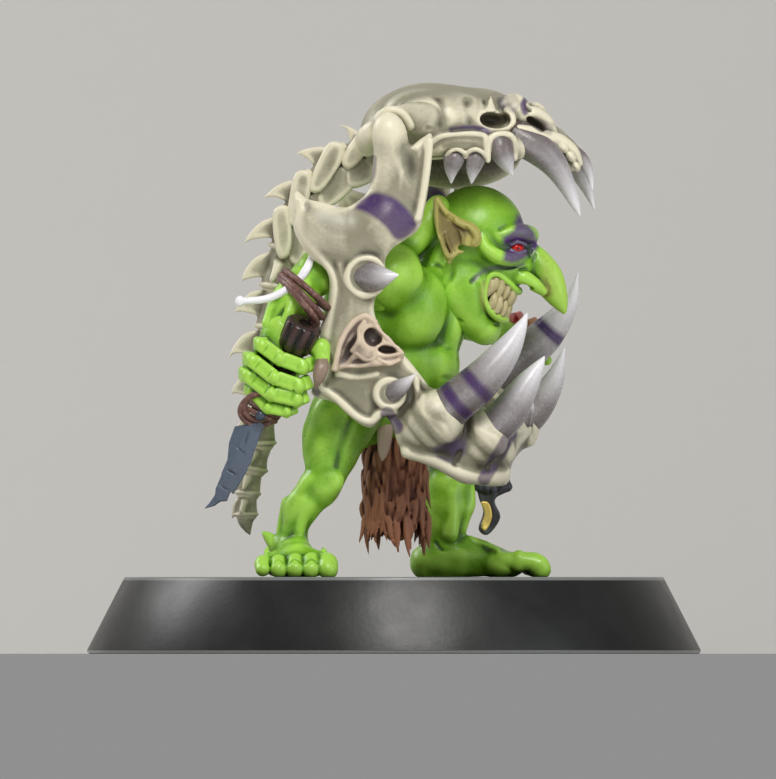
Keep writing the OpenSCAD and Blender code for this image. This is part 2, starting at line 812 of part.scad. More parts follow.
// Vertebra i of the row: a flared cup with a hooked plate behind and a short spur each side
module vertebra(i) {
    place = let (u = (len(back_line) - 1) * (i - 0.5) / vertebrae, k = floor(u)) [
        between(back_line[max(k - 1, 0)], back_line[k], back_line[k + 1],
            back_line[min(k + 2, len(back_line) - 1)], u - k),
        back_line[k + 1] - back_line[k]
    ];
    size = vertebra_d * (1 - 0.5 * (i - 1) / (vertebrae - 1));
    long = norm(place[1]) * 0.98;
    slope = atan2(place[1][0], -place[1][1]);
    part("#b5ae90") translate([place[0][0], 0, place[0][1]]) rotate([0, 180 - slope, 0])
        translate([0, 0, -long / 2]) {
            rotate_extrude() polygon([
                [0, 0], [size * 0.42, 0], [size * 0.4, long * 0.45], [size * 0.55, long], [0, long]
            ]);
            translate([0, size * 0.12, 0]) rotate([90, 0, 0]) linear_extrude(size * 0.24)
                polygon([
                    [size * 0.3, long * 0.1], [size * 0.75, long * 0.05], [size * 1.12, -long * 0.12],
                    [size * 0.95, long * 0.32], [size * 0.7, long * 0.6], [size * 0.3, long * 0.8]
                ]);
            both_sides() translate([0, size * 0.3, long * 0.5]) rotate([-75, 0, 0])
                cylinder(r1 = size * 0.2, r2 = size * 0.07, h = size * 0.55);
        }
}

module tail_tip() {
    part("#c9c5b4") horn([
        [-7.7, 0, 3.2, 0.55], [-7.75, 0, 2.8, 0.5], [-7.7, 0, 2.5, 0.25], [-7.6, 0, 2.2, 0.04]
    ]);
}

base();
right_foot_pin();
left_foot_pin();
torso();
right_leg();
left_leg();
head();
right_ear();
left_ear();
eyes();
grin_teeth();
right_arm();
right_hand();
left_arm();
left_hand();
trophy();
dagger_grip();
dagger_blade();
dagger_binding();
dagger_rivet();
forearm_bone();
forearm_thong();
fur_loincloth();
hide_strip();
hanging_cloth();
cloth_trim();
skull();
skull_teeth_right();
skull_teeth_left();
skull_fang_right();
skull_fang_left();
skull_front_fangs();
jaw_right();
jaw_left();
bone_cup();
jaw_spikes_right();
jaw_spikes_left();
outer_tusk_right();
outer_tusk_left();
inner_tusk_right();
inner_tusk_left();
jaw_front_teeth();
tail_tip();
for (i = [1:vertebrae]) {
    vertebra(i);
}
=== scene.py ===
import math

import bpy
import mathutils
import numpy as np
import openvdb
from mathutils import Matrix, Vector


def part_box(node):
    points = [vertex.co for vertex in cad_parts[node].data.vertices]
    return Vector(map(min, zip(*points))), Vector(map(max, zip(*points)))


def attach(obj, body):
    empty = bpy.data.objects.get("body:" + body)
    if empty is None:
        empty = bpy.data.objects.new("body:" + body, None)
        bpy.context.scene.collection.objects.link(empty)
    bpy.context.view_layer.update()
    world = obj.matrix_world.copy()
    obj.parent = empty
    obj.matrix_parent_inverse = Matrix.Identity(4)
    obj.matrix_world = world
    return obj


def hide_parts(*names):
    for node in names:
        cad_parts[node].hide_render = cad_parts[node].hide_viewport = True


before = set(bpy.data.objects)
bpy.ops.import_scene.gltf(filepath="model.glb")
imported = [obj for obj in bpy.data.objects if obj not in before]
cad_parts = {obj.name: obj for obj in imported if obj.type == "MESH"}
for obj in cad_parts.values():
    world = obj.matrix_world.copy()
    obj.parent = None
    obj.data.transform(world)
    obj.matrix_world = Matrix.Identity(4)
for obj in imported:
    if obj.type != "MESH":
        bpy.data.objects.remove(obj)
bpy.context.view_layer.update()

# Everything is sculpted in millimetres above the top of the base and scaled to metres at the end
mm = 0.001
baseLow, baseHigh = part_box("base")
ground = baseHigh.z / mm


def tone(red, green, blue):
    # Display colour from 0 to 255, as the linear colour a shader takes
    return tuple(((c / 255 + 0.055) / 1.055) ** 2.4 if c > 10 else c / 3294.6 for c in (red, green, blue))


# Paint

paints = {
    # The bone's last colour is painted shade under the skull's palate
    "bone": dict(base=tone(156, 152, 130), second=tone(141, 138, 116), shade=tone(78, 74, 60),
                 light=tone(238, 232, 206), band=tone(74, 50, 100), deep=1.0, edge=0.95, rough=0.34,
                 tintAndShade=tone(70, 60, 50)),
    "plainBone": dict(base=tone(166, 162, 140), second=tone(186, 182, 160), shade=tone(78, 74, 60),
                      light=tone(238, 232, 206), band=tone(74, 50, 100), deep=0.9, edge=0.9, rough=0.34),
    "paleBone": dict(base=tone(206, 204, 214), second=tone(190, 188, 200), shade=tone(90, 88, 100),
                     light=tone(250, 250, 255), band=tone(74, 50, 100), deep=0.9, edge=0.9, rough=0.34),
    "claw": dict(base=tone(158, 138, 122), second=tone(140, 120, 104), shade=tone(70, 56, 46),
                 light=tone(214, 196, 176), band=tone(74, 50, 100), deep=0.9, edge=0.9, rough=0.3),
    "horn": dict(base=tone(150, 145, 148), second=tone(126, 118, 118), shade=tone(82, 72, 68),
                 light=tone(246, 245, 250), band=tone(72, 50, 98), deep=1.0, edge=0.5, rough=0.24,
                 streaks=1.0),
    "skin": dict(base=tone(126, 184, 42), second=tone(112, 168, 40), shade=tone(38, 76, 22),
                 light=tone(182, 236, 92), band=tone(84, 36, 118), deep=0.8, edge=0.75, rough=0.3,
                 tintAndShade=tone(132, 128, 62)),
    "earSkin": dict(base=tone(142, 130, 74), second=tone(122, 104, 66), shade=tone(44, 32, 20),
                    light=tone(190, 184, 104), band=tone(84, 62, 42), deep=1.3, edge=0.8, rough=0.34),
    # Torn bone's band colour is the painted shade in the socket's wedge and pits
    "tornBone": dict(base=tone(118, 103, 94), second=tone(104, 88, 80), shade=tone(50, 38, 34),
                     light=tone(234, 214, 190), band=tone(60, 50, 48), deep=1.2, edge=0.85, rough=0.38),
    "teeth": dict(base=tone(196, 186, 142), second=tone(180, 168, 120), shade=tone(84, 66, 34),
                  light=tone(240, 234, 204), band=tone(112, 84, 44), deep=1.0, edge=0.8, rough=0.26),
    "leather": dict(base=tone(116, 82, 74), second=tone(98, 66, 60), shade=tone(30, 18, 16),
                    light=tone(178, 140, 126), band=tone(60, 34, 30), deep=1.1, edge=0.8, rough=0.42),
    "wood": dict(base=tone(30, 17, 17), second=tone(22, 11, 11), shade=tone(8, 4, 4),
                 light=tone(112, 82, 76), band=tone(20, 10, 10), deep=1.2, edge=0.7, rough=0.28),
    "fur": dict(base=tone(114, 58, 34), second=tone(94, 46, 26), shade=tone(26, 12, 8),
                light=tone(190, 130, 98), band=tone(60, 34, 30), deep=1.2, edge=0.8, rough=0.5),
    "hide": dict(base=tone(176, 138, 128), second=tone(150, 108, 104), shade=tone(70, 40, 40),
                 light=tone(232, 206, 190), band=tone(90, 50, 50), deep=1.2, edge=1.0, rough=0.42),
    "steel": dict(base=tone(46, 58, 76), second=tone(34, 42, 56), shade=tone(10, 12, 20),
                  light=tone(150, 166, 188), band=tone(30, 34, 44), deep=1.1, edge=0.3, rough=0.28,
                  metal=0.2),
    "blackCloth": dict(base=tone(26, 26, 32), second=tone(18, 18, 22), shade=tone(4, 4, 6),
                       light=tone(84, 84, 96), band=tone(10, 10, 12), deep=1.0, edge=0.8, rough=0.4),
    "gold": dict(base=tone(206, 160, 52), second=tone(176, 128, 34), shade=tone(84, 50, 10),
                 light=tone(255, 226, 128), band=tone(120, 80, 20), deep=1.0, edge=0.9, rough=0.32,
                 metal=0.6),
    "meat": dict(base=tone(176, 42, 46), second=tone(150, 30, 36), shade=tone(60, 8, 12),
                 light=tone(240, 150, 140), band=tone(196, 142, 104), deep=1.1, edge=0.8, rough=0.25),
    "redEye": dict(base=tone(214, 26, 18), second=tone(180, 14, 10), shade=tone(60, 2, 2),
                   light=tone(255, 120, 90), band=tone(20, 0, 0), deep=1.0, edge=0.4, rough=0.12),
}


def addNode(tree, kind, inputs=None, **settings):
    node = tree.nodes.new(kind)
    for key, value in settings.items():
        setattr(node, key, value)
    for key, value in (inputs or {}).items():
        if isinstance(value, bpy.types.NodeSocket):
            tree.links.new(value, node.inputs[key])
        else:
            node.inputs[key].default_value = value
    return node


def mixColour(tree, factor, first, second):
    node = addNode(tree, "ShaderNodeMix", data_type="RGBA")
    for socket, value in ((node.inputs[0], factor), (node.inputs[6], first), (node.inputs[7], second)):
        if isinstance(value, bpy.types.NodeSocket):
            tree.links.new(value, socket)
        elif isinstance(value, tuple):
            socket.default_value = (*value, 1)
        else:
            socket.default_value = value
    return node.outputs[2]


def rescale(tree, value, low, high, toLow=0.0, toHigh=1.0):
    node = addNode(tree, "ShaderNodeMapRange", {"Value": value, "From Min": low, "From Max": high,
                                                "To Min": toLow, "To Max": toHigh})
    return node.outputs[0]


def maths(tree, operation, first, second):
    return addNode(tree, "ShaderNodeMath", {0: first, 1: second}, operation=operation).outputs[0]


def paintMaterial(name, look):
    # Base coat, painted shade in the hollows, painted highlight on the edges, and painted bands
    material = bpy.data.materials.new(name)
    material.use_nodes = True
    tree = material.node_tree
    shader = tree.nodes["Principled BSDF"]
    place = addNode(tree, "ShaderNodeTexCoord").outputs["Object"]
    inMm = addNode(tree, "ShaderNodeVectorMath", {0: place, 1: (1000, 1000, 1000)}, operation="MULTIPLY")
    broad = addNode(tree, "ShaderNodeTexNoise", {"Vector": inMm.outputs[0], "Scale": 0.45, "Detail": 3.0})
    fine = addNode(tree, "ShaderNodeTexNoise", {"Vector": inMm.outputs[0], "Scale": 5.0, "Detail": 6.0,
                                                "Roughness": 0.6})
    crease = addNode(tree, "ShaderNodeAttribute", attribute_name="crease").outputs["Fac"]
    paintMask = addNode(tree, "ShaderNodeAttribute", attribute_name="band").outputs["Fac"]
    along = addNode(tree, "ShaderNodeAttribute", attribute_name="along").outputs["Fac"]

    colour = mixColour(tree, rescale(tree, broad.outputs[0], 0.35, 0.65), look["base"], look["second"])
    if "streaks" in look:
        # Horn darkens to brown grey at the root and fades to white at the tip
        root = rescale(tree, along, 0.42, 0.0, 0.0, 0.75)
        tip = rescale(tree, along, 0.45, 0.97, 0.0, 1.0)
        colour = mixColour(tree, root, colour, look["shade"])
        colour = mixColour(tree, tip, colour, look["light"])
    # Colour by the along attribute: a real yellower tint on the nose and lips, painted shade under the
    # skull's palate
    if "tintAndShade" in look:
        colour = mixColour(tree, maths(tree, "MULTIPLY", along, 0.85), colour, look["tintAndShade"])
    # Painted shade and highlight follow the crease attribute, how far the surface sinks or stands proud, with
    # a little noise
    shadeAndHighlight = maths(tree, "ADD", crease, rescale(tree, fine.outputs[0], 0.3, 0.7, -0.07, 0.07))
    band = maths(tree, "MULTIPLY", paintMask, rescale(tree, fine.outputs[0], 0.3, 0.5, 0.82, 1.0))
    colour = mixColour(tree, band, colour, look["band"])
    # Painted shade: hollows darken towards the shade colour
    paintedShade = rescale(tree, shadeAndHighlight, -0.1, -0.75, 0.0, min(look["deep"], 1.0))
    colour = mixColour(tree, paintedShade, colour, look["shade"])
    # Painted highlight: proud edges pale towards the light colour, less on the bands
    lit = maths(tree, "MULTIPLY", rescale(tree, shadeAndHighlight, 0.12, 0.75), look["edge"])
    lit = maths(tree, "MULTIPLY", lit, rescale(tree, paintMask, 0.0, 1.0, 1.0, 0.12))
    colour = mixColour(tree, lit, colour, look["light"])
    tree.links.new(colour, shader.inputs["Base Color"])
    rough = rescale(tree, fine.outputs[0], 0.3, 0.7, look["rough"] - 0.06, look["rough"] + 0.1)
    tree.links.new(rough, shader.inputs["Roughness"])
    shader.inputs["Metallic"].default_value = look.get("metal", 0.0)
    bump = addNode(tree, "ShaderNodeBump", {"Height": fine.outputs[0], "Strength": 0.35,
                                            "Distance": 0.00003})
    tree.links.new(bump.outputs[0], shader.inputs["Normal"])
    return material


materials = {name: paintMaterial(name, look) for name, look in paints.items()}


# Sculpting kit

def smoothLine(points, steps=6):
    # Catmull-Rom curve through the points, which may carry a radius as a fourth number
    p = np.array(points, float)
    p = np.vstack([2 * p[0] - p[1], p, 2 * p[-1] - p[-2]])
    t = np.linspace(0, 1, steps, endpoint=False)[:, None]
    rows = []
    for a, b, c, d in zip(p[:-3], p[1:-2], p[2:-1], p[3:]):
        rows.append(b + 0.5 * t * (c - a + t * (2 * a - 5 * b + 4 * c - d + t * (3 * b - a - 3 * c + d))))
    return np.vstack(rows + [p[-2:-1]])


def smoothRing(points, steps=5):
    p = [list(q) for q in points]
    line = smoothLine(p[-2:] + p + p[:2], steps)
    return line[2 * steps:-1 - steps]


def smoothMin(a, b, soft):
    h = np.maximum(soft - np.abs(a - b), 0) / soft
    return np.minimum(a, b) - h * h * soft / 4


def turnMatrix(turn):
    x, y, z = (math.radians(a) for a in turn)
    cx, sx, cy, sy, cz, sz = math.cos(x), math.sin(x), math.cos(y), math.sin(y), math.cos(z), math.sin(z)
    aboutX = np.array([[1, 0, 0], [0, cx, -sx], [0, sx, cx]])
    aboutY = np.array([[cy, 0, sy], [0, 1, 0], [-sy, 0, cy]])
    aboutZ = np.array([[cz, -sz, 0], [sz, cz, 0], [0, 0, 1]])
    return aboutZ @ aboutY @ aboutX


def segmentDistance(x, y, z, a, b):
    # Distance from each point to the straight piece from a to b, less the radius there
    ab = b[:3] - a[:3]
    dx, dy, dz = x - a[0], y - a[1], z - a[2]
    t = np.clip((dx * ab[0] + dy * ab[1] + dz * ab[2]) / max(ab @ ab, 1e-9), 0, 1)
    away = np.sqrt((dx - t * ab[0]) ** 2 + (dy - t * ab[1]) ** 2 + (dz - t * ab[2]) ** 2)
    return away - (a[3] + t * (b[3] - a[3]))


def tubeDistance(x, y, z, line):
    # Distance to a whole curve given as rows of x, y, z and radius
    shape = segmentDistance(x, y, z, line[0], line[1])
    for a, b in zip(line[1:-1], line[2:]):
        shape = np.minimum(shape, segmentDistance(x, y, z, a, b))
    return shape


def flatAt(depth):
    # Middle surface of a plate that doesn't bend
    return lambda x, z: (depth + 0 * (x + z), 1.0)


def roundedCorner(a, b, edge):
    # Inside of two walls that meet at a rounded edge; a and b are the distances to them
    a, b = a + edge, b + edge
    return (np.hypot(np.maximum(a, 0), np.maximum(b, 0)) + np.minimum(np.maximum(a, b), 0)
            - edge).astype(np.float32)


def outlineDistance(x, z, outline):
    # Signed distance in the plane to a closed outline: negative inside
    best = np.full(np.broadcast(x, z).shape, 1e9, np.float32)
    inside = np.zeros(best.shape, bool)
    for a, b in zip(outline, np.roll(outline, -1, axis=0)):
        ab = b - a
        dx, dz = x - a[0], z - a[1]
        t = np.clip((dx * ab[0] + dz * ab[1]) / max(ab @ ab, 1e-9), 0, 1)
        best = np.minimum(best, (dx - t * ab[0]) ** 2 + (dz - t * ab[1]) ** 2)
        spans = (a[1] > z) != (b[1] > z)
        crossing = x < (b[0] - a[0]) * (z - a[1]) / (b[1] - a[1] + 1e-12) + a[0]
        inside ^= spans & crossing
    return np.where(inside, -1, 1) * np.sqrt(best)


class Clay:
    # A block of clay: signed distance on a regular grid, negative inside
    reach = 0.6

    def __init__(self, low, high, grain=0.08):
        self.low, self.grain = np.array(low, float), grain
        self.count = np.ceil((np.array(high) - self.low) / grain).astype(int) + 1
        self.d = np.full(self.count, 2 * self.reach, np.float32)
        self.axes = [(self.low[i] + grain * np.arange(self.count[i])).astype(np.float32) for i in range(3)]

    def region(self, low, high, pad=None):
        pad = self.reach if pad is None else pad
        first = np.floor((np.array(low) - pad - self.low) / self.grain).astype(int)
        last = np.ceil((np.array(high) + pad - self.low) / self.grain).astype(int) + 1
        first, last = np.clip(first, 0, self.count), np.clip(last, 0, self.count)
        part = tuple(slice(a, b) for a, b in zip(first, last))
        x, y, z = (axis[p] for axis, p in zip(self.axes, part))
        return part, x[:, None, None], y[None, :, None], z[None, None, :]

    def everywhere(self):
        return self.axes[0][:, None, None], self.axes[1][None, :, None], self.axes[2][None, None, :]

    def join(self, part, shape, soft, cut=False):
        if cut:
            self.d[part] = -smoothMin(-self.d[part], shape, soft)
        else:
            self.d[part] = smoothMin(self.d[part], shape, soft)
        return self

    def lump(self, centre, half, turn=(0, 0, 0), soft=0.3, cut=False):
        # Ellipsoid with half sizes along its own turned axes
        half = np.array(half if np.ndim(half) else [half] * 3, float)
        m = turnMatrix(turn)
        wide = np.abs(m) @ half
        part, x, y, z = self.region(np.array(centre) - wide, np.array(centre) + wide)
        dx, dy, dz = x - centre[0], y - centre[1], z - centre[2]
        u = [(m[0, i] * dx + m[1, i] * dy + m[2, i] * dz) / half[i] for i in range(3)]
        near = np.sqrt(u[0] ** 2 + u[1] ** 2 + u[2] ** 2)
        slope = np.sqrt(sum((u[i] / half[i]) ** 2 for i in range(3))) + 1e-6
        return self.join(part, (near * (near - 1) / slope).astype(np.float32), soft, cut)

    def limb(self, points, soft=0.25, steps=0, cut=False, flat=1.0):
        # Tube of changing radius along a smooth curve: flat squeezes it along Y
        steps = steps or (10 if max(p[3] for p in points) > 0.65 else 4)
        line = smoothLine(points, steps)
        low = (line[:, :3] - line[:, 3:]).min(0)
        high = (line[:, :3] + line[:, 3:]).max(0)
        part, x, y, z = self.region(low, high)
        middle = line[:, 1].mean()
        y = middle + (y - middle) / flat
        line = line.copy()
        line[:, 1] = middle + (line[:, 1] - middle) / flat
        shape = tubeDistance(x, y, z, line)
        return self.join(part, shape.astype(np.float32), soft, cut)

    def block(self, a, b, half, edge, soft=0.05):
        # Rounded bar from a to b: half is its half height and its half depth
        a, b = np.array(a, float), np.array(b, float)
        long = np.linalg.norm(b - a)
        along = (b - a) / long
        high = np.cross(along, [0.0, -1.0, 0.0] if abs(along[1]) < 0.9 else [1.0, 0.0, 0.0])
        high /= np.linalg.norm(high)
        deep = np.cross(along, high)
        middle = (a + b) / 2
        part, x, y, z = self.region(np.minimum(a, b) - max(half), np.maximum(a, b) + max(half))
        dx, dy, dz = x - middle[0], y - middle[1], z - middle[2]
        sides = [np.abs(dx * w[0] + dy * w[1] + dz * w[2]) - size + edge
                 for w, size in ((along, long / 2), (high, half[0]), (deep, half[1]))]
        outside = np.sqrt(sum(np.maximum(q, 0) ** 2 for q in sides))
        inside = np.minimum(np.maximum(np.maximum(sides[0], sides[1]), sides[2]), 0)
        return self.join(part, (outside + inside - edge).astype(np.float32), soft)

    def line(self, points, width, depth, steps=5):
        # Groove along a curve, or a raised ridge where depth is negative
        line = smoothLine([(*p[:3], 0) for p in points], steps)
        part, x, y, z = self.region(line[:, :3].min(0), line[:, :3].max(0), 2.6 * width)
        shape = tubeDistance(x, y, z, line)
        self.d[part] += depth * np.exp(-(shape / width) ** 2)
        return self

    def plate(self, outline, middle, thick, edge=0.3, soft=0.2, cut=False):
        # Side outline in x and z, given a thickness about the surface y = middle(x, z)
        flat = np.array(outline, float)
        low = [flat[:, 0].min(), self.axes[1][0], flat[:, 1].min()]
        high = [flat[:, 0].max(), self.axes[1][-1], flat[:, 1].max()]
        part, x, y, z = self.region(low, high)
        side = outlineDistance(x[:, 0, :], z[:, 0, :], flat)[:, None, :]
        surface, tilt = middle(x, z)
        across = np.abs(y - surface) / tilt - thick / 2
        return self.join(part, roundedCorner(side, across, edge), soft, cut)

    def roughen(self, height, length, seed):
        # Gentle hand-carved unevenness from a few seeded waves
        chance = np.random.default_rng(seed)
        x, y, z = self.everywhere()
        for _ in range(7):
            way = chance.normal(size=3)
            way *= 2 * math.pi / length / np.linalg.norm(way) * chance.uniform(0.6, 1.6)
            wave = np.sin(way[0] * x + way[1] * y + way[2] * z + chance.uniform(0, 6.3))
            self.d += (height / 3 * wave).astype(np.float32)
        return self

    def floorCut(self, z=0.0):
        self.d = np.maximum(self.d, (z - self.axes[2])[None, None, :])
        return self

    def sample(self, values, spots):
        # Value of a grid at spots given in grid steps
        base = np.clip(np.floor(spots).astype(int), 0, self.count - 2)
        f = spots - base
        total = 0
        for corner in np.ndindex(2, 2, 2):
            weight = np.prod([f[:, i] if corner[i] else 1 - f[:, i] for i in range(3)], axis=0)
            total = total + weight * values[tuple((base + corner).T)]
        return total

    def creases(self, spots, radius):
        # How far the surface stands proud of (above 0) or sinks below (under 0) its surroundings
        soft = np.clip(self.d, -self.reach, self.reach)
        width = max(int(radius / self.grain), 1)
        for _ in range(2):
            for axis in range(3):
                sums = np.cumsum(np.pad(soft, [(width + 1, width) if i == axis else (0, 0)
                                               for i in range(3)], mode="edge"), axis=axis, dtype=np.float64)
                n = soft.shape[axis]
                ahead = np.take(sums, range(2 * width + 1, 2 * width + 1 + n), axis=axis)
                behind = np.take(sums, range(0, n), axis=axis)
                soft = ((ahead - behind) / (2 * width + 1)).astype(np.float32)
        return (self.sample(soft, spots) - self.sample(np.clip(self.d, -self.reach, self.reach),
                                                       spots)) / radius

    def mesh(self):
        grid = openvdb.FloatGrid()
        grid.background = self.reach
        grid.copyFromArray(np.clip(self.d, -self.reach, self.reach).astype(np.float64))
        spots, _, quads = grid.convertToPolygons(isovalue=0.0, adaptivity=0.0)
        return spots, quads


def buildMesh(name, points, faces, values):
    # points in millimetres above the base, values one number a point for each attribute
    mesh = bpy.data.meshes.new(name)
    corners = faces.shape[1]
    mesh.vertices.add(len(points))
    mesh.loops.add(faces.size)
    mesh.polygons.add(len(faces))
    at = (np.asarray(points, float) + [0, 0, ground]) * mm
    mesh.vertices.foreach_set("co", at.astype(np.float32).ravel())
    mesh.loops.foreach_set("vertex_index", faces.astype(np.int32).ravel())
    mesh.polygons.foreach_set("loop_start", np.arange(0, faces.size, corners, dtype=np.int32))
    mesh.update(calc_edges=True)
    mesh.validate()
    for key, value in values.items():
        mesh.attributes.new(key, "FLOAT", "POINT").data.foreach_set("value", value.astype(np.float32))
    mesh.shade_smooth()
    return mesh


def place(name, mesh, paint, *nodes, slot=None):
    # One finished piece: its paint, the body it rides on and the nodes it stands for
    piece = bpy.data.objects.new(name, mesh)
    bpy.context.scene.collection.objects.link(piece)
    if not mesh.materials:
        mesh.materials.append(materials[paint])
    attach(piece, "root")
    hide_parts(*nodes)
    return piece


def bake(name, clay, paint, *nodes, band=None, tintAndShade=None, fine=0.16, broad=0.5, gain=5.0):
    # Turns sculpted clay into a piece, with its hollows and edges measured for the painted shade and
    # highlight
    spots, quads = clay.mesh()
    points = clay.low + spots * clay.grain
    crease = gain * (0.6 * clay.creases(spots, fine) + 0.4 * clay.creases(spots, broad))
    values = {"crease": np.clip(crease, -1.5, 1.5)}
    values["band"] = band(points) if band else np.zeros(len(points))
    values["along"] = tintAndShade(points) if tintAndShade else np.zeros(len(points))
    print("piece", name, len(quads), "faces")
    return place(name, buildMesh(name, points, quads, values), paint, *nodes)


def nearLine(points, path, width, fade=0.12):
    # 1 within width of a side-view line in x and z, fading to 0 outside it
    line = smoothLine([(p[0], 0, p[1], 0) for p in path], 8)
    best = None
    for a, b in zip(line[:-1], line[1:]):
        one = segmentDistance(points[:, 0], 0 * points[:, 1], points[:, 2], a, b)
        best = one if best is None else np.minimum(best, one)
    return np.clip((width - best) / fade + 0.5, 0, 1)


def insideOutline(points, outline, fade=0.12):
    away = outlineDistance(points[:, 0], points[:, 2], np.array(outline, float))
    return np.clip(0.5 - away / fade, 0, 1)


def hornMesh(path, sides=28, steps=14, flat=1.0, bands=(), ripple=0.0, seed=1):
    # Closed tapering horn along a smooth curve; bands are (start, end) fractions that are painted
    line = smoothLine(path, steps)
    count = len(line)
    way = np.gradient(line[:, :3], axis=0)
    way /= np.linalg.norm(way, axis=1)[:, None]
    u = np.cross(way, np.broadcast_to([0.08, 1, 0.05], way.shape))
    u /= np.linalg.norm(u, axis=1)[:, None]
    v = np.cross(way, u)
    angle = np.linspace(0, 2 * math.pi, sides, endpoint=False)
    chance = np.random.default_rng(seed)
    phase = chance.uniform(0, 6.3, 4)
    lengths = np.concatenate([[0], np.cumsum(np.linalg.norm(np.diff(line[:, :3], axis=0), axis=1))])
    share = lengths / lengths[-1]
    flute = sum(np.sin((3 + 2 * i) * angle + phase[i]) / (i + 1) for i in range(4))
    fading = (1 - share[:, None]) ** 0.7
    radius = np.maximum(line[:, 3:4], 0.012) * (1 + ripple * flute[None, :] * fading)
    rings = line[:, None, :3] + radius[:, :, None] * (np.cos(angle)[None, :, None] * u[:, None, :]
                                                     + flat * np.sin(angle)[None, :, None] * v[:, None, :])
    points = np.vstack([rings.reshape(-1, 3), line[:1, :3], line[-1:, :3]])
    i, k = np.meshgrid(np.arange(count - 1), np.arange(sides), indexing="ij")
    a = (i * sides + k).ravel()
    b = (i * sides + (k + 1) % sides).ravel()
    walls = np.stack([a, a + sides, b + sides, b], axis=1)
    k = np.arange(sides)
    nextK = (k + 1) % sides
    root = np.stack([k, nextK, np.full(sides, count * sides), np.full(sides, count * sides)], axis=1)
    last = (count - 1) * sides
    tip = np.stack([last + nextK, last + k, np.full(sides, count * sides + 1),
                    np.full(sides, count * sides + 1)], axis=1)
    share = np.concatenate([np.repeat(share, sides), [0, 1]])
    band = np.zeros(len(points))
    for start, end in bands:
        band = np.maximum(band, np.clip(np.minimum(share - start, end - share) / 0.02 + 0.5, 0, 1))
    # Painted highlight on the flutes' ridges and painted shade in their grooves, fading towards the tip, and
    # painted shade at the root
    shade = np.concatenate([np.tile(0.35 * np.clip(flute, -1, 1), count), [0, 0]])
    shade = shade * (1 - share)
    shade[share < 0.05] = -0.8
    triangles = np.vstack([walls[:, [0, 1, 2]], walls[:, [0, 2, 3]], root[:, :3], tip[:, :3]])
    return points, triangles, {"crease": shade, "band": band, "along": share}


def joinParts(parts):
    # Several point, face and value sets as one
    points = np.vstack([p[0] for p in parts])
    shifts = np.cumsum([0] + [len(p[0]) for p in parts[:-1]])
    faces = np.vstack([p[1] + s for p, s in zip(parts, shifts)])
    values = {key: np.concatenate([p[2][key] for p in parts]) for key in parts[0][2]}
    return points, faces, values


def placeHorns(name, paths, paint, *nodes, **shape):
    parts = [hornMesh(path, seed=i + 1, **shape) for i, path in enumerate(paths)]
    points, faces, values = joinParts(parts)
    return place(name, buildMesh(name, points, faces, values), paint, *nodes)


def mirrorPath(path):
    return [(p[0], -p[1], *p[2:]) for p in path]


# Base and pins

base = dict(edgeBevel=0.14, sides=256)


def latheMesh(profile, sides):
    # Closed ring of revolution about the Z axis
    profile = np.array(profile, float)
    angle = np.linspace(0, 2 * math.pi, sides, endpoint=False)
    points = np.stack([np.outer(np.cos(angle), profile[:, 0]), np.outer(np.sin(angle), profile[:, 0]),
                       np.outer(np.ones(sides), profile[:, 1])], axis=2).reshape(-1, 3)
    count = len(profile)
    i, k = np.meshgrid(np.arange(sides), np.arange(count - 1), indexing="ij")
    a = (i * count + k).ravel()
    b = ((i + 1) % sides * count + k).ravel()
    faces = np.stack([a, b, b + 1, a + 1], axis=1)
    ends = [len(points), len(points) + 1]
    points = np.vstack([points, [[0, 0, profile[0, 1]], [0, 0, profile[-1, 1]]]])
    triangles = np.vstack([faces[:, [0, 1, 2]], faces[:, [0, 2, 3]]])
    i = np.arange(sides)
    nextI = (i + 1) % sides
    bottom = np.stack([nextI * count, i * count, np.full(sides, ends[0])], axis=1)
    top = np.stack([i * count + count - 1, nextI * count + count - 1, np.full(sides, ends[1])], axis=1)
    return points, np.vstack([triangles, bottom, top])


def satinBlack():
    material = bpy.data.materials.new("satinBlack")
    material.use_nodes = True
    tree = material.node_tree
    shader = tree.nodes["Principled BSDF"]
    spot = addNode(tree, "ShaderNodeTexCoord").outputs["Object"]
    dust = addNode(tree, "ShaderNodeTexNoise", {"Vector": spot, "Scale": 400.0, "Detail": 6.0})
    grain = addNode(tree, "ShaderNodeTexNoise", {"Vector": spot, "Scale": 3500.0, "Detail": 4.0})
    edgeHighlight = addNode(tree, "ShaderNodeAttribute", attribute_name="crease").outputs["Fac"]
    colour = mixColour(tree, rescale(tree, dust.outputs[0], 0.35, 0.7), tone(15, 17, 16), tone(22, 24, 23))
    # Painted highlight on the bevelled edges of the base
    colour = mixColour(tree, maths(tree, "MULTIPLY", edgeHighlight, 0.8), colour, tone(128, 132, 130))
    tree.links.new(colour, shader.inputs["Base Color"])
    rough = rescale(tree, dust.outputs[0], 0.3, 0.7, 0.3, 0.42)
    tree.links.new(rough, shader.inputs["Roughness"])
    bump = addNode(tree, "ShaderNodeBump", {"Height": grain.outputs[0], "Strength": 0.25,
                                            "Distance": 0.00002})
    tree.links.new(bump.outputs[0], shader.inputs["Normal"])
    return material


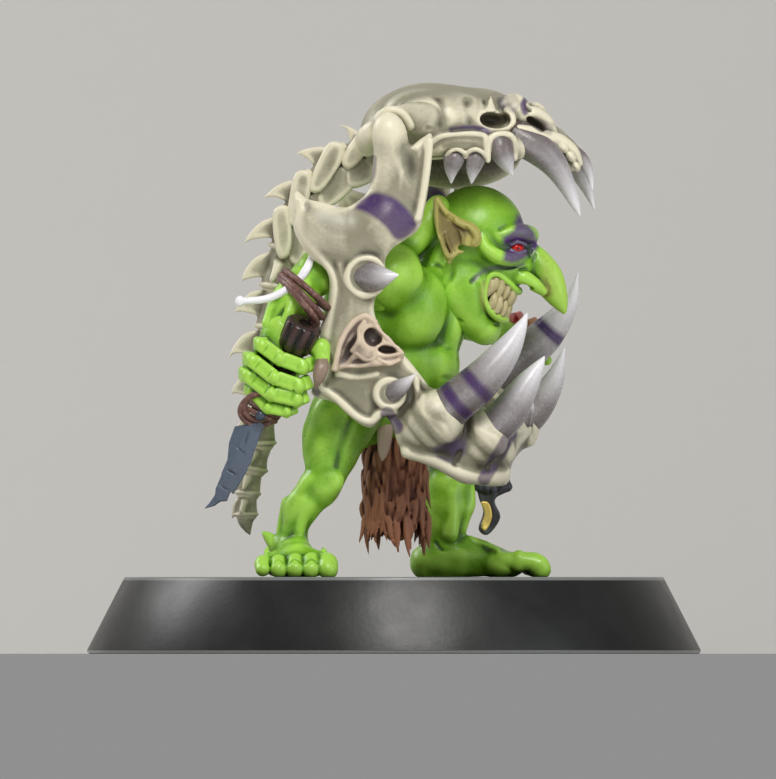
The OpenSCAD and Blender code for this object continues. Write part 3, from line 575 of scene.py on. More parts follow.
def makeBase():
    outer = (baseHigh.x - baseLow.x) / 2 / mm
    slope = (16 - 14.1) / 4
    top = outer - slope * ground
    wall, bevel = 1.2, base["edgeBevel"]
    # Heights are below the top of the base, as the figure is measured up from it
    profile = [(0, -wall), (top - wall - 0.3, -wall), (top - wall, -wall - 0.3), (outer - wall, -ground),
               (outer - bevel, -ground), (outer - 0.3 * bevel, -ground + 0.3 * bevel),
               (outer, -ground + bevel), (outer - 0.01, -ground + 1.4 * bevel),
               (top + 0.01 + 0.4 * slope * bevel, -1.4 * bevel), (top, -bevel),
               (top - 0.3 * bevel, -0.3 * bevel), (top - bevel, 0), (top - 1.6 * bevel, 0), (0, 0)]
    points, faces = latheMesh([(max(r, 1e-4), z) for r, z in profile], base["sides"])
    # Painted highlight on the bevel rings
    edgeHighlight = np.zeros(len(points))
    ring = np.zeros(len(profile))
    ring[[4, 5, 6, 9, 10, 11]] = 1
    edgeHighlight[:len(profile) * base["sides"]] = np.tile(ring, base["sides"])
    mesh = buildMesh("gamingBase", points, faces, {"crease": edgeHighlight})
    mesh.materials.append(satinBlack())
    mesh.set_sharp_from_angle(angle=math.radians(35))
    place("gamingBase", mesh, None, "base", slot="black_base")


def brassWire():
    material = bpy.data.materials.new("brassWire")
    material.use_nodes = True
    tree = material.node_tree
    shader = tree.nodes["Principled BSDF"]
    spot = addNode(tree, "ShaderNodeTexCoord").outputs["Object"]
    drawn = addNode(tree, "ShaderNodeTexNoise", {"Vector": spot, "Scale": 2500.0, "Detail": 4.0})
    colour = mixColour(tree, drawn.outputs[0], tone(196, 158, 78), tone(160, 122, 54))
    tree.links.new(colour, shader.inputs["Base Color"])
    tree.links.new(rescale(tree, drawn.outputs[0], 0.3, 0.7, 0.22, 0.4), shader.inputs["Roughness"])
    shader.inputs["Metallic"].default_value = 1.0
    return material


def makePins():
    wire = brassWire()
    for name in ("right_foot_pin", "left_foot_pin"):
        low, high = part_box(name)
        centre = (low + high) / 2 / mm
        radius, bevel = (high.x - low.x) / 2 / mm, 0.06
        bottom, top = low.z / mm - ground, high.z / mm - ground
        points, faces = latheMesh([(1e-4, bottom), (radius - bevel, bottom), (radius, bottom + bevel),
                                   (radius, top - bevel), (radius - bevel, top), (1e-4, top)], 32)
        mesh = buildMesh(name + "_wire", points + [centre.x, centre.y, 0], faces, {})
        mesh.materials.append(wire)
        place(name + "_wire", mesh, None, name, slot="brass_wire")


# Goblin

torso = dict(grain=0.08, muscleSoft=0.42)


def torsoClay():
    clay = Clay((-4.6, -5.6, 5.6), (5.6, 5.6, 20.4), torso["grain"])
    soft = torso["muscleSoft"]
    clay.limb([(-0.8, 0, 8.4, 2), (0.3, 0, 10.8, 2.3), (0, 0, 13.4, 2.6), (0, 0, 15.4, 2.3)], 0.5)
    clay.lump((-0.7, 0, 8.6), (2.1, 2.7, 1.8), soft=0.5)
    clay.lump((1.7, 0, 11.1), (1.75, 2.5, 2.1), soft=0.4)
    clay.lump((-0.9, 0, 14.2), (2.5, 3.5, 3.4), soft=0.5)
    clay.limb([(0.4, 0, 16.4, 1.9), (2.3, 0, 17.3, 1.5)], 0.6)
    for side in (-1, 1):
        # Chest, shoulder, neck muscle and the belly's side
        forward = 0 if side < 0 else 0.5
        clay.lump((1 + forward, side * 2.1, 13.9), (1.75, 1.7, 2.35), (0, 14, 0), soft=soft)
        clay.lump((2.75 + forward * 0.3, side * 0.95, 13.1), (0.85, 0.95, 1.7), (0, 8, 0), soft=soft)
        clay.lump((-0.2, side * 3.3, 15.7), (1.75, 1.7, 1.8), (0, 0, 0), soft=soft)
        clay.limb([(0.2, side * 2.6, 17, 0.9), (1.6, side * 1.6, 18.2, 0.85), (2.3, side * 1.3, 19.3, 0.6)],
                  0.3)
        clay.limb([(2.1, side * 1.6, 16, 0.55), (2.5, side * 1.5, 17.2, 0.6), (2.6, side * 1.5, 18.2, 0.5)],
                  soft)
        clay.lump((0.6, side * 2, 11), (1.6, 1.1, 1.8), (0, 10, 0), soft=0.25)
        # Shoulder blade and the long muscles beside the spine
        clay.lump((-2.4, side * 1.9, 15.2), (0.9, 1.3, 1.7), (0, 12, 0), soft=0.3)
        clay.limb([(-2.9, side * 0.8, 16.2, 0.6), (-3, side * 0.8, 13, 0.7), (-2.4, side * 0.8, 10, 0.7)],
                  0.4)
        clay.line([(2.6, side * 0.9, 9.4), (3.1, side * 0.9, 11), (2.9, side * 1.1, 12.2)], 0.16, 0.08)
    clay.line([(-3.4, 0, 17), (-3.6, 0, 13), (-2.9, 0, 9)], 0.25, 0.18)
    clay.line([(3.4, 0, 15), (3.7, 0, 12), (3.2, 0, 9.4)], 0.16, 0.14)
    clay.line([(2.7, -2.3, 11.9), (3.3, 0, 11.8), (2.7, 2.3, 11.9)], 0.14, 0.04)
    clay.line([(2.6, -2.1, 10.4), (3.3, 0, 10.3), (2.6, 2.1, 10.4)], 0.14, 0.04)
    clay.line([(1.4, -3.2, 16.2), (2.2, -2.2, 16.3), (3, -1.2, 15.6)], 0.13, 0.12)
    return clay.roughen(0.03, 1.6, 3)


rightLeg = dict(grain=0.07, toes=5, toeSpacing=0.8)


def rightLegClay():
    clay = Clay((-8, -8, -0.3), (0.3, 0.2, 11.4), rightLeg["grain"])
    clay.limb([(-1.7, -2.2, 9.6, 1.7), (-2.5, -3, 8.6, 1.85), (-3.2, -3.4, 7, 1.6), (-3.5, -3.9, 5.4, 1.05),
               (-3.7, -4.1, 4.7, 0.95)], 0.3)
    # Knee cap, calf, shin and tendons
    clay.lump((-3.35, -4.5, 4.95), (0.75, 0.6, 0.85), (0, 10, 0), soft=0.14)
    clay.lump((-4.35, -4.1, 4.9), (0.6, 0.7, 0.9), (0, 35, 0), soft=0.2)
    clay.limb([(-4, -4, 4.4, 0.85), (-4.75, -3.9, 3.7, 0.95), (-5.1, -3.8, 2.7, 0.72),
               (-5.2, -3.7, 1.7, 0.7)], 0.25)
    clay.limb([(-4.1, -4.4, 4.2, 0.35), (-4.7, -4.5, 3.2, 0.3), (-5, -4.3, 2.1, 0.28)], 0.15)
    clay.limb([(-5.4, -3.6, 3.8, 0.5), (-5.7, -3.5, 2.8, 0.35), (-5.9, -3.5, 1.8, 0.25)], 0.15)
    clay.limb([(-5.3, -3.5, 1.3, 0.95), (-5.15, -4.6, 1.1, 0.95), (-5.1, -5.5, 0.75, 0.85)], 0.3)
    clay.lump((-5.1, -5.2, 0.7), (1.85, 1.1, 0.85), soft=0.3)
    clay.lump((-5.2, -3.75, 0.75), (1.05, 1.05, 1), soft=0.25)
    clay.limb([(-5.9, -3.4, 1.4, 0.5), (-6.5, -3.2, 2, 0.28), (-6.8, -3.1, 2.3, 0.12)], 0.2)
    for i in range(rightLeg["toes"]):
        x = -6.75 + rightLeg["toeSpacing"] * i
        size = 0.4 + 0.035 * i
        out = x - 0.05 * (2 - i)
        clay.limb([(x * 0.85 - 0.8, -5.3, 0.9, size * 0.75), (x, -6, 0.75, size * 0.9),
                   (out, -6.45, 0.75, size), (out, -6.95, 0.4, size)], 0.06)
        clay.line([(out - 0.28, -7.15, 0.7), (out, -7.0, 0.93), (out + 0.28, -7.15, 0.7)], 0.07, 0.09)
        clay.limb([(x * 0.9 - 0.5, -4.4, 1.5, 0.1), (x * 0.95 - 0.25, -5.2, 1.3, 0.12)], 0.15)
    clay.line([(-2, -4.8, 8.8), (-2.7, -5, 7), (-3, -4.8, 5.8)], 0.2, 0.1)
    return clay.roughen(0.03, 1.4, 5).floorCut()


leftLeg = dict(grain=0.07, toes=5, toeSpacing=0.7)


def leftLegClay():
    clay = Clay((-1.8, 0.2, -0.3), (9, 6, 11.2), leftLeg["grain"])
    clay.limb([(0, 2.3, 9.2, 1.7), (1.4, 2.8, 8, 1.6), (2.7, 3.2, 6.6, 1.25), (3.3, 3.3, 5.6, 1.05)], 0.3)
    clay.lump((3.7, 3.2, 5.9), (0.7, 0.75, 0.8), soft=0.15)
    clay.limb([(3, 3.2, 5.4, 1.15), (2.8, 3.1, 4, 1.3), (2.65, 3, 2.8, 1.1), (2.6, 3, 1.8, 0.95)], 0.3)
    clay.limb([(3.8, 2.9, 5, 0.3), (3.9, 2.7, 3.8, 0.35), (3.5, 2.6, 2.4, 0.25)], 0.15)
    clay.limb([(3, 2.1, 4.4, 0.2), (3.1, 2.05, 3.2, 0.28), (2.95, 2, 2.2, 0.4)], 0.3, steps=6)
    clay.lump((5.5, 2.3, 0.75), (0.75, 0.7, 0.62), soft=0.12)
    clay.limb([(1.7, 3, 0.75, 0.9), (2.7, 3, 1.05, 1.2), (3.9, 3, 1.05, 1.05), (5.2, 3.1, 0.85, 0.8)], 0.3)
    clay.lump((5.7, 3.2, 0.65), (1.2, 1.5, 0.7), soft=0.3)
    for i in range(leftLeg["toes"]):
        y = 1.9 + leftLeg["toeSpacing"] * i
        reach = 7.7 - 0.18 * i
        size = 0.5 - 0.04 * i
        clay.limb([(5.6, y, 0.9, size * 0.75), (6.6, y - 0.05, 0.85, size * 0.9),
                   (reach - 0.4, y - 0.05, 0.75, size), (reach, y - 0.05, 0.42, size)], 0.06)
        clay.lump((6.5, y - 0.05, 0.85), (0.45, size, size * 1.1), soft=0.08)
        clay.lump((reach - 0.15, y - 0.05, 0.62), (size * 1.1, size * 1.05, size), soft=0.08)
        clay.line([(reach + 0.15, y - 0.3, 0.7), (reach + 0.1, y, 0.95), (reach + 0.15, y + 0.25, 0.7)],
                  0.07, 0.08)
        clay.limb([(4, 2.6 + 0.2 * i, 2, 0.1), (5.4, y, 1.4, 0.12)], 0.15)
    clay.line([(2.2, 2.2, 1.8), (2.5, 2, 1.4), (3.1, 2.1, 1.3)], 0.12, 0.1)
    return clay.roughen(0.03, 1.4, 6).floorCut()


head = dict(grain=0.055, eyeRadius=0.4)
eyeSpot = (6.42, 1.28, 17.12)


def headClay():
    clay = Clay((1.2, -3, 11.5), (9.6, 3, 21), head["grain"])
    clay.lump((4.3, 0, 17.9), (2.5, 2.2, 2.5))
    clay.lump((3.1, 0, 16.8), (1.6, 1.95, 2.1), soft=0.4)
    clay.lump((5.5, 0, 16.4), (1.65, 1.75, 1.5), soft=0.4)
    clay.lump((5, 0, 15.4), (1.45, 1.6, 0.95), soft=0.3)
    clay.lump((4, 0, 14.4), (1.35, 1.75, 1.9), (0, -10, 0), soft=0.35)
    clay.lump((4.75, 0, 12.95), (0.85, 1.1, 0.88), soft=0.16)
    clay.lump((6.3, 0, 16.3), (1.1, 1.35, 0.85), (0, 20, 0), soft=0.3)
    clay.lump((3.6, 0, 15.6), (1.3, 1.9, 1.3), soft=0.4)
    for side in (1, -1):
        def at(x, y, z, *rest):
            return (x, side * y, z, *rest)

        clay.limb([at(2.95, -1.3, 15.9, 0.7), at(3.2, -1.4, 14.8, 0.8), at(3.8, -1.2, 13.7, 0.75),
                   at(4.5, -0.7, 12.95, 0.72)], 0.4)
        clay.lump(at(4, -1.4, 15), (0.95, 0.6, 1.2), (0, -20, 0), soft=0.45)
        clay.limb([at(5.45, -1.7, 17.7, 0.3), at(6.1, -1.55, 17.95, 0.4), at(6.75, -1.15, 17.95, 0.45),
                   at(7, -0.5, 17.85, 0.45), at(7.05, 0, 17.8, 0.42)], 0.35)
        clay.limb([at(4.6, -2.1, 17.6, 0.2), at(4.85, -2.1, 17.1, 0.34), at(5.5, -2, 16.68, 0.4),
                   at(6.2, -1.6, 16.6, 0.34), at(6.7, -1.2, 16.8, 0.2)], 0.3)
    # Hooked nose with its wings
    clay.limb([(6.8, 0, 17.2, 0.42), (7.35, 0, 16.5, 0.74), (7.95, 0, 15.65, 0.84), (8.38, 0, 14.85, 0.64),
               (8.68, 0, 14.25, 0.38), (8.86, 0, 13.85, 0.15)], 0.22, flat=0.85)
    for side in (1, -1):
        def at(x, y, z, *rest):
            return (x, side * y, z, *rest)

        clay.limb([at(6.3, -0.95, 15.6, 0.3), at(6.75, -1.02, 15.6, 0.4), at(7.3, -0.85, 15.25, 0.36),
                   at(7.75, -0.6, 14.9, 0.25)], 0.1)
        clay.lump(at(6.95, -0.95, 15.15), (0.4, 0.3, 0.12), (0, 20, 0), soft=0.05, cut=True)
        clay.line([at(6.4, -1.25, 16), at(7, -1.1, 16.05), at(7.7, -0.9, 15.75), at(8.1, -0.75, 15.1)], 0.1,
                  0.1)
        for x, z in ((7.25, 17.15), (7.5, 17)):
            clay.line([at(x, 0, z + 0.15), at(x - 0.1, -0.45, z - 0.15), at(x - 0.25, -0.75, z - 0.55)],
                      0.07, 0.07)
        # Eye socket and lids
        clay.lump(at(6.72, -1.62, 17.15), (0.52, 0.5, 0.32), (0, 8, 0), soft=0.06, cut=True)
        clay.limb([at(6.1, -1.62, 17.3, 0.09), at(6.45, -1.62, 17.46, 0.1), at(6.85, -1.4, 17.32, 0.1)], 0.04)
        clay.limb([at(6.1, -1.65, 17.05, 0.1), at(6.45, -1.6, 16.87, 0.11), at(6.85, -1.35, 17, 0.1)], 0.04)
    # Open mouth, its dark inside and both lips
    gap = smoothRing([(4.82, 14.9), (5.02, 15.6), (5.35, 15.75), (5.9, 15.4), (6.7, 14.75), (6.7, 13.9),
                      (5.8, 13.6), (5.25, 13.75), (4.9, 14.2)], 4)
    clay.plate(gap, flatAt(0), 6, edge=0.05, soft=0.05, cut=True)
    clay.lump((4.7, 0, 14.75), (1.15, 1.3, 1.3), soft=0.06)
    for side in (1, -1):
        def at(x, y, z, *rest):
            return (x, side * y, z, *rest)

        clay.limb([at(4.76, -1.66, 14.9, 0.13), at(4.95, -1.68, 15.6, 0.15), at(5.4, -1.6, 15.78, 0.17),
                   at(5.95, -1.25, 15.35, 0.19), at(6.35, -0.75, 14.98, 0.2), at(6.5, 0, 14.9, 0.2)], 0.07)
        clay.limb([at(4.76, -1.66, 14.9, 0.13), at(4.74, -1.62, 14.4, 0.16), at(5.02, -1.5, 13.85, 0.19),
                   at(5.45, -1.1, 13.5, 0.21), at(5.75, -0.5, 13.42, 0.21), at(5.8, 0, 13.42, 0.21)], 0.07)
        # Folds: beside the nose, round the jaw, over the chin and on the brow
        clay.line([at(4.05, -2, 15.4), at(4.6, -1.95, 15.95), at(5.3, -1.85, 16.12), at(6, -1.5, 16.15),
                   at(6.5, -1.2, 16.2)], 0.12, 0.18)
        clay.line([at(4.35, -1.9, 15.2), at(4.4, -1.85, 14.5), at(4.6, -1.7, 13.8)], 0.16, 0.05)
        clay.line([at(3.4, -1.75, 13.4), at(4.2, -1.5, 13.25), at(5, -1.05, 13.12), at(5.5, -0.5, 13.15),
                   at(5.6, 0, 13.15)], 0.1, 0.08)
        clay.line([at(2.5, -1.8, 14.8), at(3, -2, 15.6), at(3.1, -2.1, 16.3)], 0.15, 0.08)
        clay.line([at(5.5, -1.9, 18.1), at(6.1, -1.7, 18.45), at(6.7, -1.1, 18.55)], 0.14, 0.06)
        clay.line([at(4.9, -2.3, 18.1), at(5.4, -2.1, 17.4), at(5.8, -1.95, 17.1)], 0.14, 0.1)
    return clay


def warPaintAndMouthShade(points):
    x, z = points[:, 0], points[:, 2]
    band = insideOutline(points, [(5.65, 17.75), (6.2, 18.1), (6.45, 18.9), (6.9, 18.6), (7.35, 18),
                                  (7.6, 17.3), (7.3, 16.9), (6.9, 16.6), (6.5, 16.35), (6.1, 16.3),
                                  (5.65, 16.45), (5.75, 17.1)], 0.3)
    band = np.maximum(band, 0.7 * nearLine(points, [(4.15, 15.5), (4.9, 16.05), (6.2, 16.15), (6.7, 16.3)],
                                           0.12, 0.2))
    # Painted shade: the inside of the mouth takes the dark purple band colour
    inside = insideOutline(points, [(4.85, 14.9), (5, 15.6), (5.4, 15.7), (6, 15.2), (6.2, 14.6),
                                    (5.9, 13.8), (5.3, 13.85), (4.95, 14.3)],
                           0.1) * (np.abs(points[:, 1]) < 1.42)
    return np.maximum(band, inside * (x < 6.25) * (z < 16))


def earInside(points):
    return insideOutline(points, [(2.3, 19.3), (2.75, 18.7), (3.4, 18.3), (3.75, 18), (3.6, 17.4),
                                  (3.2, 17.2), (2.95, 16.7), (2.6, 17.2), (2.3, 18.3)], 0.3) * 0.8


def oliveParts(points):
    # The nose, the lower lip and the front of the chin are yellower than the rest
    nose = np.clip((points[:, 0] - 7.45) / 0.5, 0, 1) * (points[:, 2] < 17)
    lip = nearLine(points, [(4.75, 15.2), (4.7, 14.5), (5, 13.9), (5.6, 13.45), (5.85, 13.4)], 0.24, 0.15)
    return np.maximum(nose, 0.9 * lip)


teeth = dict(upper=6, lower=5, length=0.85, radius=0.2)


def makeGrin():
    # Both rows run along the lips from one corner of the mouth round the front to the other
    upper = smoothLine([(5, -1.62, 15.35), (5.3, -1.56, 15.5), (5.75, -1.3, 15.25), (6.12, -0.85, 14.9),
                        (6.3, -0.3, 14.8)], 12)
    lower = smoothLine([(4.95, -1.52, 14.2), (5.25, -1.4, 13.9), (5.6, -1.05, 13.72), (5.78, -0.5, 13.66),
                        (5.84, -0.15, 13.66)], 12)
    chance = np.random.default_rng(21)
    parts = []
    for line, count, way in ((upper, teeth["upper"], (-0.3, 0, -1)), (lower, teeth["lower"], (0.32, 0, 1))):
        for i in range(count):
            spot = line[int((i + 0.5) / count * (len(line) - 1))]
            size = teeth["radius"] * chance.uniform(0.85, 1.2)
            drop = np.array(way) * teeth["length"] * chance.uniform(0.85, 1.1)
            for side in (1, -1):
                root = spot * [1, side, 1]
                path = [(*(root - 0.15 * drop), size * 0.8), (*(root + 0.3 * drop + [0.05, 0, 0]), size),
                        (*(root + 0.7 * drop + [0.02, 0, 0]), size * 0.75),
                        (*(root + drop - [0.03, 0, 0]), 0.03)]
                parts.append(hornMesh(path, sides=16, steps=5, seed=i))
    points, faces, values = joinParts(parts)
    place("grinTeeth", buildMesh("grinTeeth", points, faces, values), "teeth", "grin_teeth")


def makeEyes():
    parts = []
    for side in (-1, 1):
        radius = head["eyeRadius"]
        rings = [(radius * math.sin(a) + 1e-4, -radius * math.cos(a)) for a in np.linspace(0, math.pi, 17)]
        points, faces = latheMesh(rings, 28)
        turned = points[:, [0, 2, 1]] * [1, side, 1]
        if side > 0:
            faces = faces[:, ::-1]
        spot = np.array([eyeSpot[0] - 0.05, side * (eyeSpot[1] - 0.08), eyeSpot[2]])
        pupil = np.clip((0.1 - np.hypot(turned[:, 0] - 0.12, turned[:, 2])) / 0.04, 0, 1)
        pupil = pupil * (turned[:, 1] * side > 0)
        values = {"crease": np.zeros(len(points)), "band": pupil, "along": np.zeros(len(points))}
        parts.append((turned + spot, faces, values))
    points, faces, values = joinParts(parts)
    place("eyes_painted", buildMesh("eyes_painted", points, faces, values), "redEye", "eyes")


ear = dict(grain=0.05, thick=0.26)


def earClay():
    outline = smoothRing([(2.05, 19.3), (2.05, 19.75), (2.4, 19.8), (2.75, 19.2), (3.5, 18.7), (4.2, 18.4),
                          (4.52, 18), (4.56, 17.5), (4.3, 17.18), (3.75, 17.25), (3.45, 17.3), (3.35, 17.1),
                          (3.68, 16.95), (3.3, 16.75), (3.05, 16.5), (2.88, 16.28), (2.6, 16.75),
                          (2.35, 17.6), (2.1, 18.5)], 4)
    clay = Clay((1.4, -3.6, 15.7), (5.2, -1.6, 20.3), ear["grain"])

    def middle(x, z):
        return -2.35 - 0.22 * np.clip((4.3 - x) / 2, 0, 1.2) + 0 * z, 1.05

    clay.plate(outline, middle, ear["thick"], edge=0.1)
    clay.limb([(2.25, -2.72, 19.65, 0.13), (2.75, -2.76, 18.95, 0.17), (3.4, -2.7, 18.45, 0.19),
               (4.05, -2.6, 18.15, 0.2), (4.3, -2.5, 17.7, 0.2), (4.15, -2.45, 17.4, 0.18)], 0.06)
    clay.limb([(2.2, -2.72, 19.5, 0.11), (2.25, -2.78, 18.4, 0.13), (2.5, -2.8, 17.5, 0.14),
               (2.85, -2.75, 16.7, 0.16), (3.35, -2.7, 16.95, 0.12)], 0.05)
    clay.limb([(2.75, -2.75, 18.3, 0.1), (2.65, -2.8, 17.8, 0.12), (2.9, -2.78, 17.3, 0.13),
               (3.05, -2.7, 16.9, 0.1)], 0.05)
    clay.limb([(3.3, -2.7, 18.1, 0.11), (3.55, -2.72, 17.8, 0.13), (3.6, -2.62, 17.4, 0.1)], 0.05)
    clay.lump((2.75, -2.95, 18.35), (0.28, 0.3, 0.75), (0, 28, 0), soft=0.1, cut=True)
    clay.lump((3.2, -2.9, 17.7), (0.2, 0.35, 0.62), (0, 12, 0), soft=0.06, cut=True)
    clay.line([(2.45, -2.9, 18.9), (2.5, -2.9, 18.1), (2.7, -2.9, 17.2)], 0.08, 0.12)
    clay.line([(3.75, -2.75, 18.2), (3.95, -2.7, 17.8), (3.85, -2.65, 17.35)], 0.08, 0.12)
    clay.line([(2.9, -2.85, 17.9), (3, -2.85, 17.4)], 0.07, 0.1)
    return clay


def mirrorClay(clay):
    # The same clay on the other side of the figure
    clay.d = clay.d[:, ::-1, :]
    clay.low[1] = -(clay.low[1] + clay.grain * (clay.count[1] - 1))
    clay.axes[1] = -clay.axes[1][::-1]
    return clay


# Right arm, fist and dagger

arm = dict(grain=0.07)


def rightArmClay():
    clay = Clay((-8, -8, 11), (1.5, -0.8, 18), arm["grain"])
    clay.lump((-0.8, -3.1, 15.4), (1.5, 1.5, 1.6), soft=0.3)
    clay.limb([(-1, -3.4, 15.6, 1.3), (-2.6, -4, 16, 1.25), (-3.9, -4.6, 16.1, 1.05)], 0.3)
    clay.limb([(-3.8, -4.7, 16.2, 0.9), (-4.6, -5.2, 15.3, 1.08), (-5.4, -5.8, 14.3, 1.05),
               (-5.75, -6.1, 13.4, 0.98), (-6, -6.3, 12.5, 0.95)], 0.2)
    clay.lump((-4.1, -5.3, 15.7), (0.75, 0.7, 1.15), (0, -35, 0), soft=0.14)
    clay.limb([(-4.6, -6, 15.2, 0.4), (-5.2, -6.5, 14.3, 0.45), (-5.8, -6.9, 13.3, 0.3)], 0.12)
    clay.limb([(-5.4, -5.9, 15, 0.4), (-6.2, -6.3, 14.1, 0.42), (-6.6, -6.6, 13.2, 0.3)], 0.12)
    clay.line([(-4.9, -6.3, 15), (-5.6, -6.8, 14.1), (-6.2, -7.1, 13.2)], 0.12, 0.12)
    return clay.roughen(0.03, 1.3, 11)


# The fist's four fingers, each from its knuckle over the middle joint to the bent-in tip
fingerPaths = [
    [(-7, -6.5, 12.15), (-6.9, -7.35, 12.1), (-5.95, -7.95, 11.4), (-4.75, -7.85, 10.95), (-4.3, -7.2, 11.1)],
    [(-7.6, -6.5, 11.4), (-7.4, -7.4, 11.3), (-6.25, -8.1, 10.4), (-4.95, -8, 9.95), (-4.5, -7.3, 10.15)],
    [(-7.8, -6.5, 10.65), (-7.6, -7.3, 10.5), (-6.4, -8, 9.55), (-5.05, -7.9, 9.25), (-4.7, -7.3, 9.4)],
    [(-7.6, -6.5, 9.85), (-7.4, -7.15, 9.7), (-6.6, -7.75, 8.85), (-5.6, -7.7, 8.65), (-5.2, -7.2, 8.8)],
]
hand = dict(grain=0.05, fingerRadius=0.44)
gripTop = np.array([-4.5, -6.9, 13.2])
gripWay = np.array([-0.46, 0.0, -0.888])
gripWay /= np.linalg.norm(gripWay)


def gripAt(distance, radius=None):
    spot = gripTop + distance * gripWay
    return (*spot, radius) if radius else tuple(spot)


def rightHandClay():
    clay = Clay((-8.8, -9, 7.6), (-3, -4.9, 13.8), hand["grain"])
    clay.lump((-6.2, -6.3, 10.9), (1.35, 0.95, 1.8), (0, 27, 0), soft=0.3)
    clay.limb([(-5.9, -6.3, 12.9, 0.95), (-6.2, -6.4, 11.8, 1)], 0.3)
    for number, path in enumerate(fingerPaths):
        size = hand["fingerRadius"] * (0.84 if number == 3 else 1)
        points = [np.array(p) for p in path]
        for k in range(4):
            # Each bone of the finger is a rounded block, a little thicker at its far joint
            a, b = points[k], points[k + 1]
            way = (b - a) / np.linalg.norm(b - a)
            clay.block(a + 0.08 * way, b + (0.12 if k < 3 else 0) * way, (size * 0.9, size * 0.85), 0.17,
                       0.03)
        for k in (1, 2, 3):
            clay.lump(points[k] + [0, -0.06, -0.03], (size * 0.75, size * 0.95, size * 0.95), soft=0.06)
        for k in (1, 2):
            a, b = points[k], points[k + 1]
            upright = np.cross([0, -1.0, 0], b - a)
            upright *= size / np.linalg.norm(upright)
            for share in (0.24, 0.8):
                spot = a + (b - a) * share + [0, -size * 0.86, 0]
                clay.line([spot + upright, spot + [0, -0.08, 0], spot - upright], 0.05, 0.12)
    clay.limb([(-5.4, -6.5, 12.3, 0.5), (-4.4, -6.9, 12.1, 0.5), (-3.85, -7.3, 11.8, 0.5),
               (-3.75, -7.5, 11.3, 0.4)], 0.08)
    clay.lump((-3.8, -7.35, 11.95), 0.5, soft=0.07)
    clay.line([(-4.1, -7.9, 11.6), (-3.8, -8, 11.65), (-3.5, -7.8, 11.6)], 0.07, 0.12)
    clay.limb([(*gripAt(0.3), 0.68), (*gripAt(6), 0.66)], 0.03, steps=1, cut=True)
    return clay


def makeThumbClaw():
    claw = [(-3.75, -7.6, 11.4, 0.3), (-3.8, -8.02, 10.9, 0.4), (-3.95, -8.05, 10.3, 0.28),
            (-4.1, -7.8, 9.75, 0.02)]
    placeHorns("thumbClaw", [claw], "claw", "right_hand", flat=0.6, sides=20, steps=8)


pommel = dict(radius=0.98, flutes=9, groove=0.12)


def gripFrame():
    # Two directions square to the dagger's axis
    side = np.array([0.0, 1.0, 0.0])
    return np.cross(gripWay, side), side


def makeGrip():
    # Rings down the axis: a chamfered fluted pommel leaning out, then the round grip through the fist
    leaned = np.array([-0.36, 0.42, -0.83])
    leaned /= np.linalg.norm(leaned)
    sides = 144
    angle = np.linspace(0, 2 * math.pi, sides, endpoint=False)
    fluted = np.abs(np.cos(angle * pommel["flutes"] / 2)) ** 0.35
    parts = []
    for way, start, rings in ((leaned, np.array([-4.62, -7.75, 13.28]),
                               [(0.1, 0.001), (0.03, 0.3), (0.0, 0.34), (0.05, 0.4), (0.0, 0.56),
                                (0.0, 0.8), (0.07, 0.93), (0.18, 1.0), (1.4, 0.97), (1.6, 0.86),
                                (1.66, 0.6), (1.66, 0.001)]), (gripWay, gripTop,
                                                               [(0.9, 0.001), (0.9, 0.6), (1.2, 0.64),
                                                                (5.3, 0.6), (5.3, 0.001)]),):
        side = np.cross(way, [1.0, 0, 0])
        side /= np.linalg.norm(side)
        across = np.cross(side, way)
        points, crease = [], []
        for down, radius in rings:
            isPommel = way is leaned and 0.03 < down < 1.62
            wide = pommel["radius"] * radius * (1 - pommel["groove"] * (1 - fluted) * isPommel)
            spots = start + way * down + wide[:, None] * (np.cos(angle)[:, None] * across
                                                          + np.sin(angle)[:, None] * side)
            points.append(spots)
            # Painted highlight on the pommel's flute ridges and painted shade in the flutes; elsewhere narrow
            # rings get painted shade and wide ones a slight painted highlight
            crease.append((fluted - 0.75) * 1.8 if isPommel else np.full(sides, 0.3 - 0.9 * (radius < 0.45)))
        count = len(rings)
        i, k = np.meshgrid(np.arange(count - 1), np.arange(sides), indexing="ij")
        a, b = (i * sides + k).ravel(), (i * sides + (k + 1) % sides).ravel()
        faces = np.stack([a, b, b + sides, a + sides], axis=1)
        caps = [[(k + 1) % sides, k, count * sides, count * sides] for k in range(sides)]
        last = (count - 1) * sides
        caps += [[last + k, last + (k + 1) % sides, count * sides + 1, count * sides + 1]
                 for k in range(sides)]
        points = np.vstack(points + [[start + way * rings[0][0]], [start + way * rings[-1][0]]])
        # The centre of the first end gets painted shade
        values = {"crease": np.concatenate(crease + [[-0.5, 0]]), "band": np.zeros(len(points)),
                  "along": np.zeros(len(points))}
        walls = np.vstack([faces[:, [0, 1, 2]], faces[:, [0, 2, 3]], np.array(caps)[:, :3]])
        parts.append((points, walls, values))
    points, faces, values = joinParts(parts)
    place("daggerGrip", buildMesh("daggerGrip", points, faces, values), "wood", "dagger_grip")


blade = dict(grain=0.045, thick=0.52, middleY=-6.9)


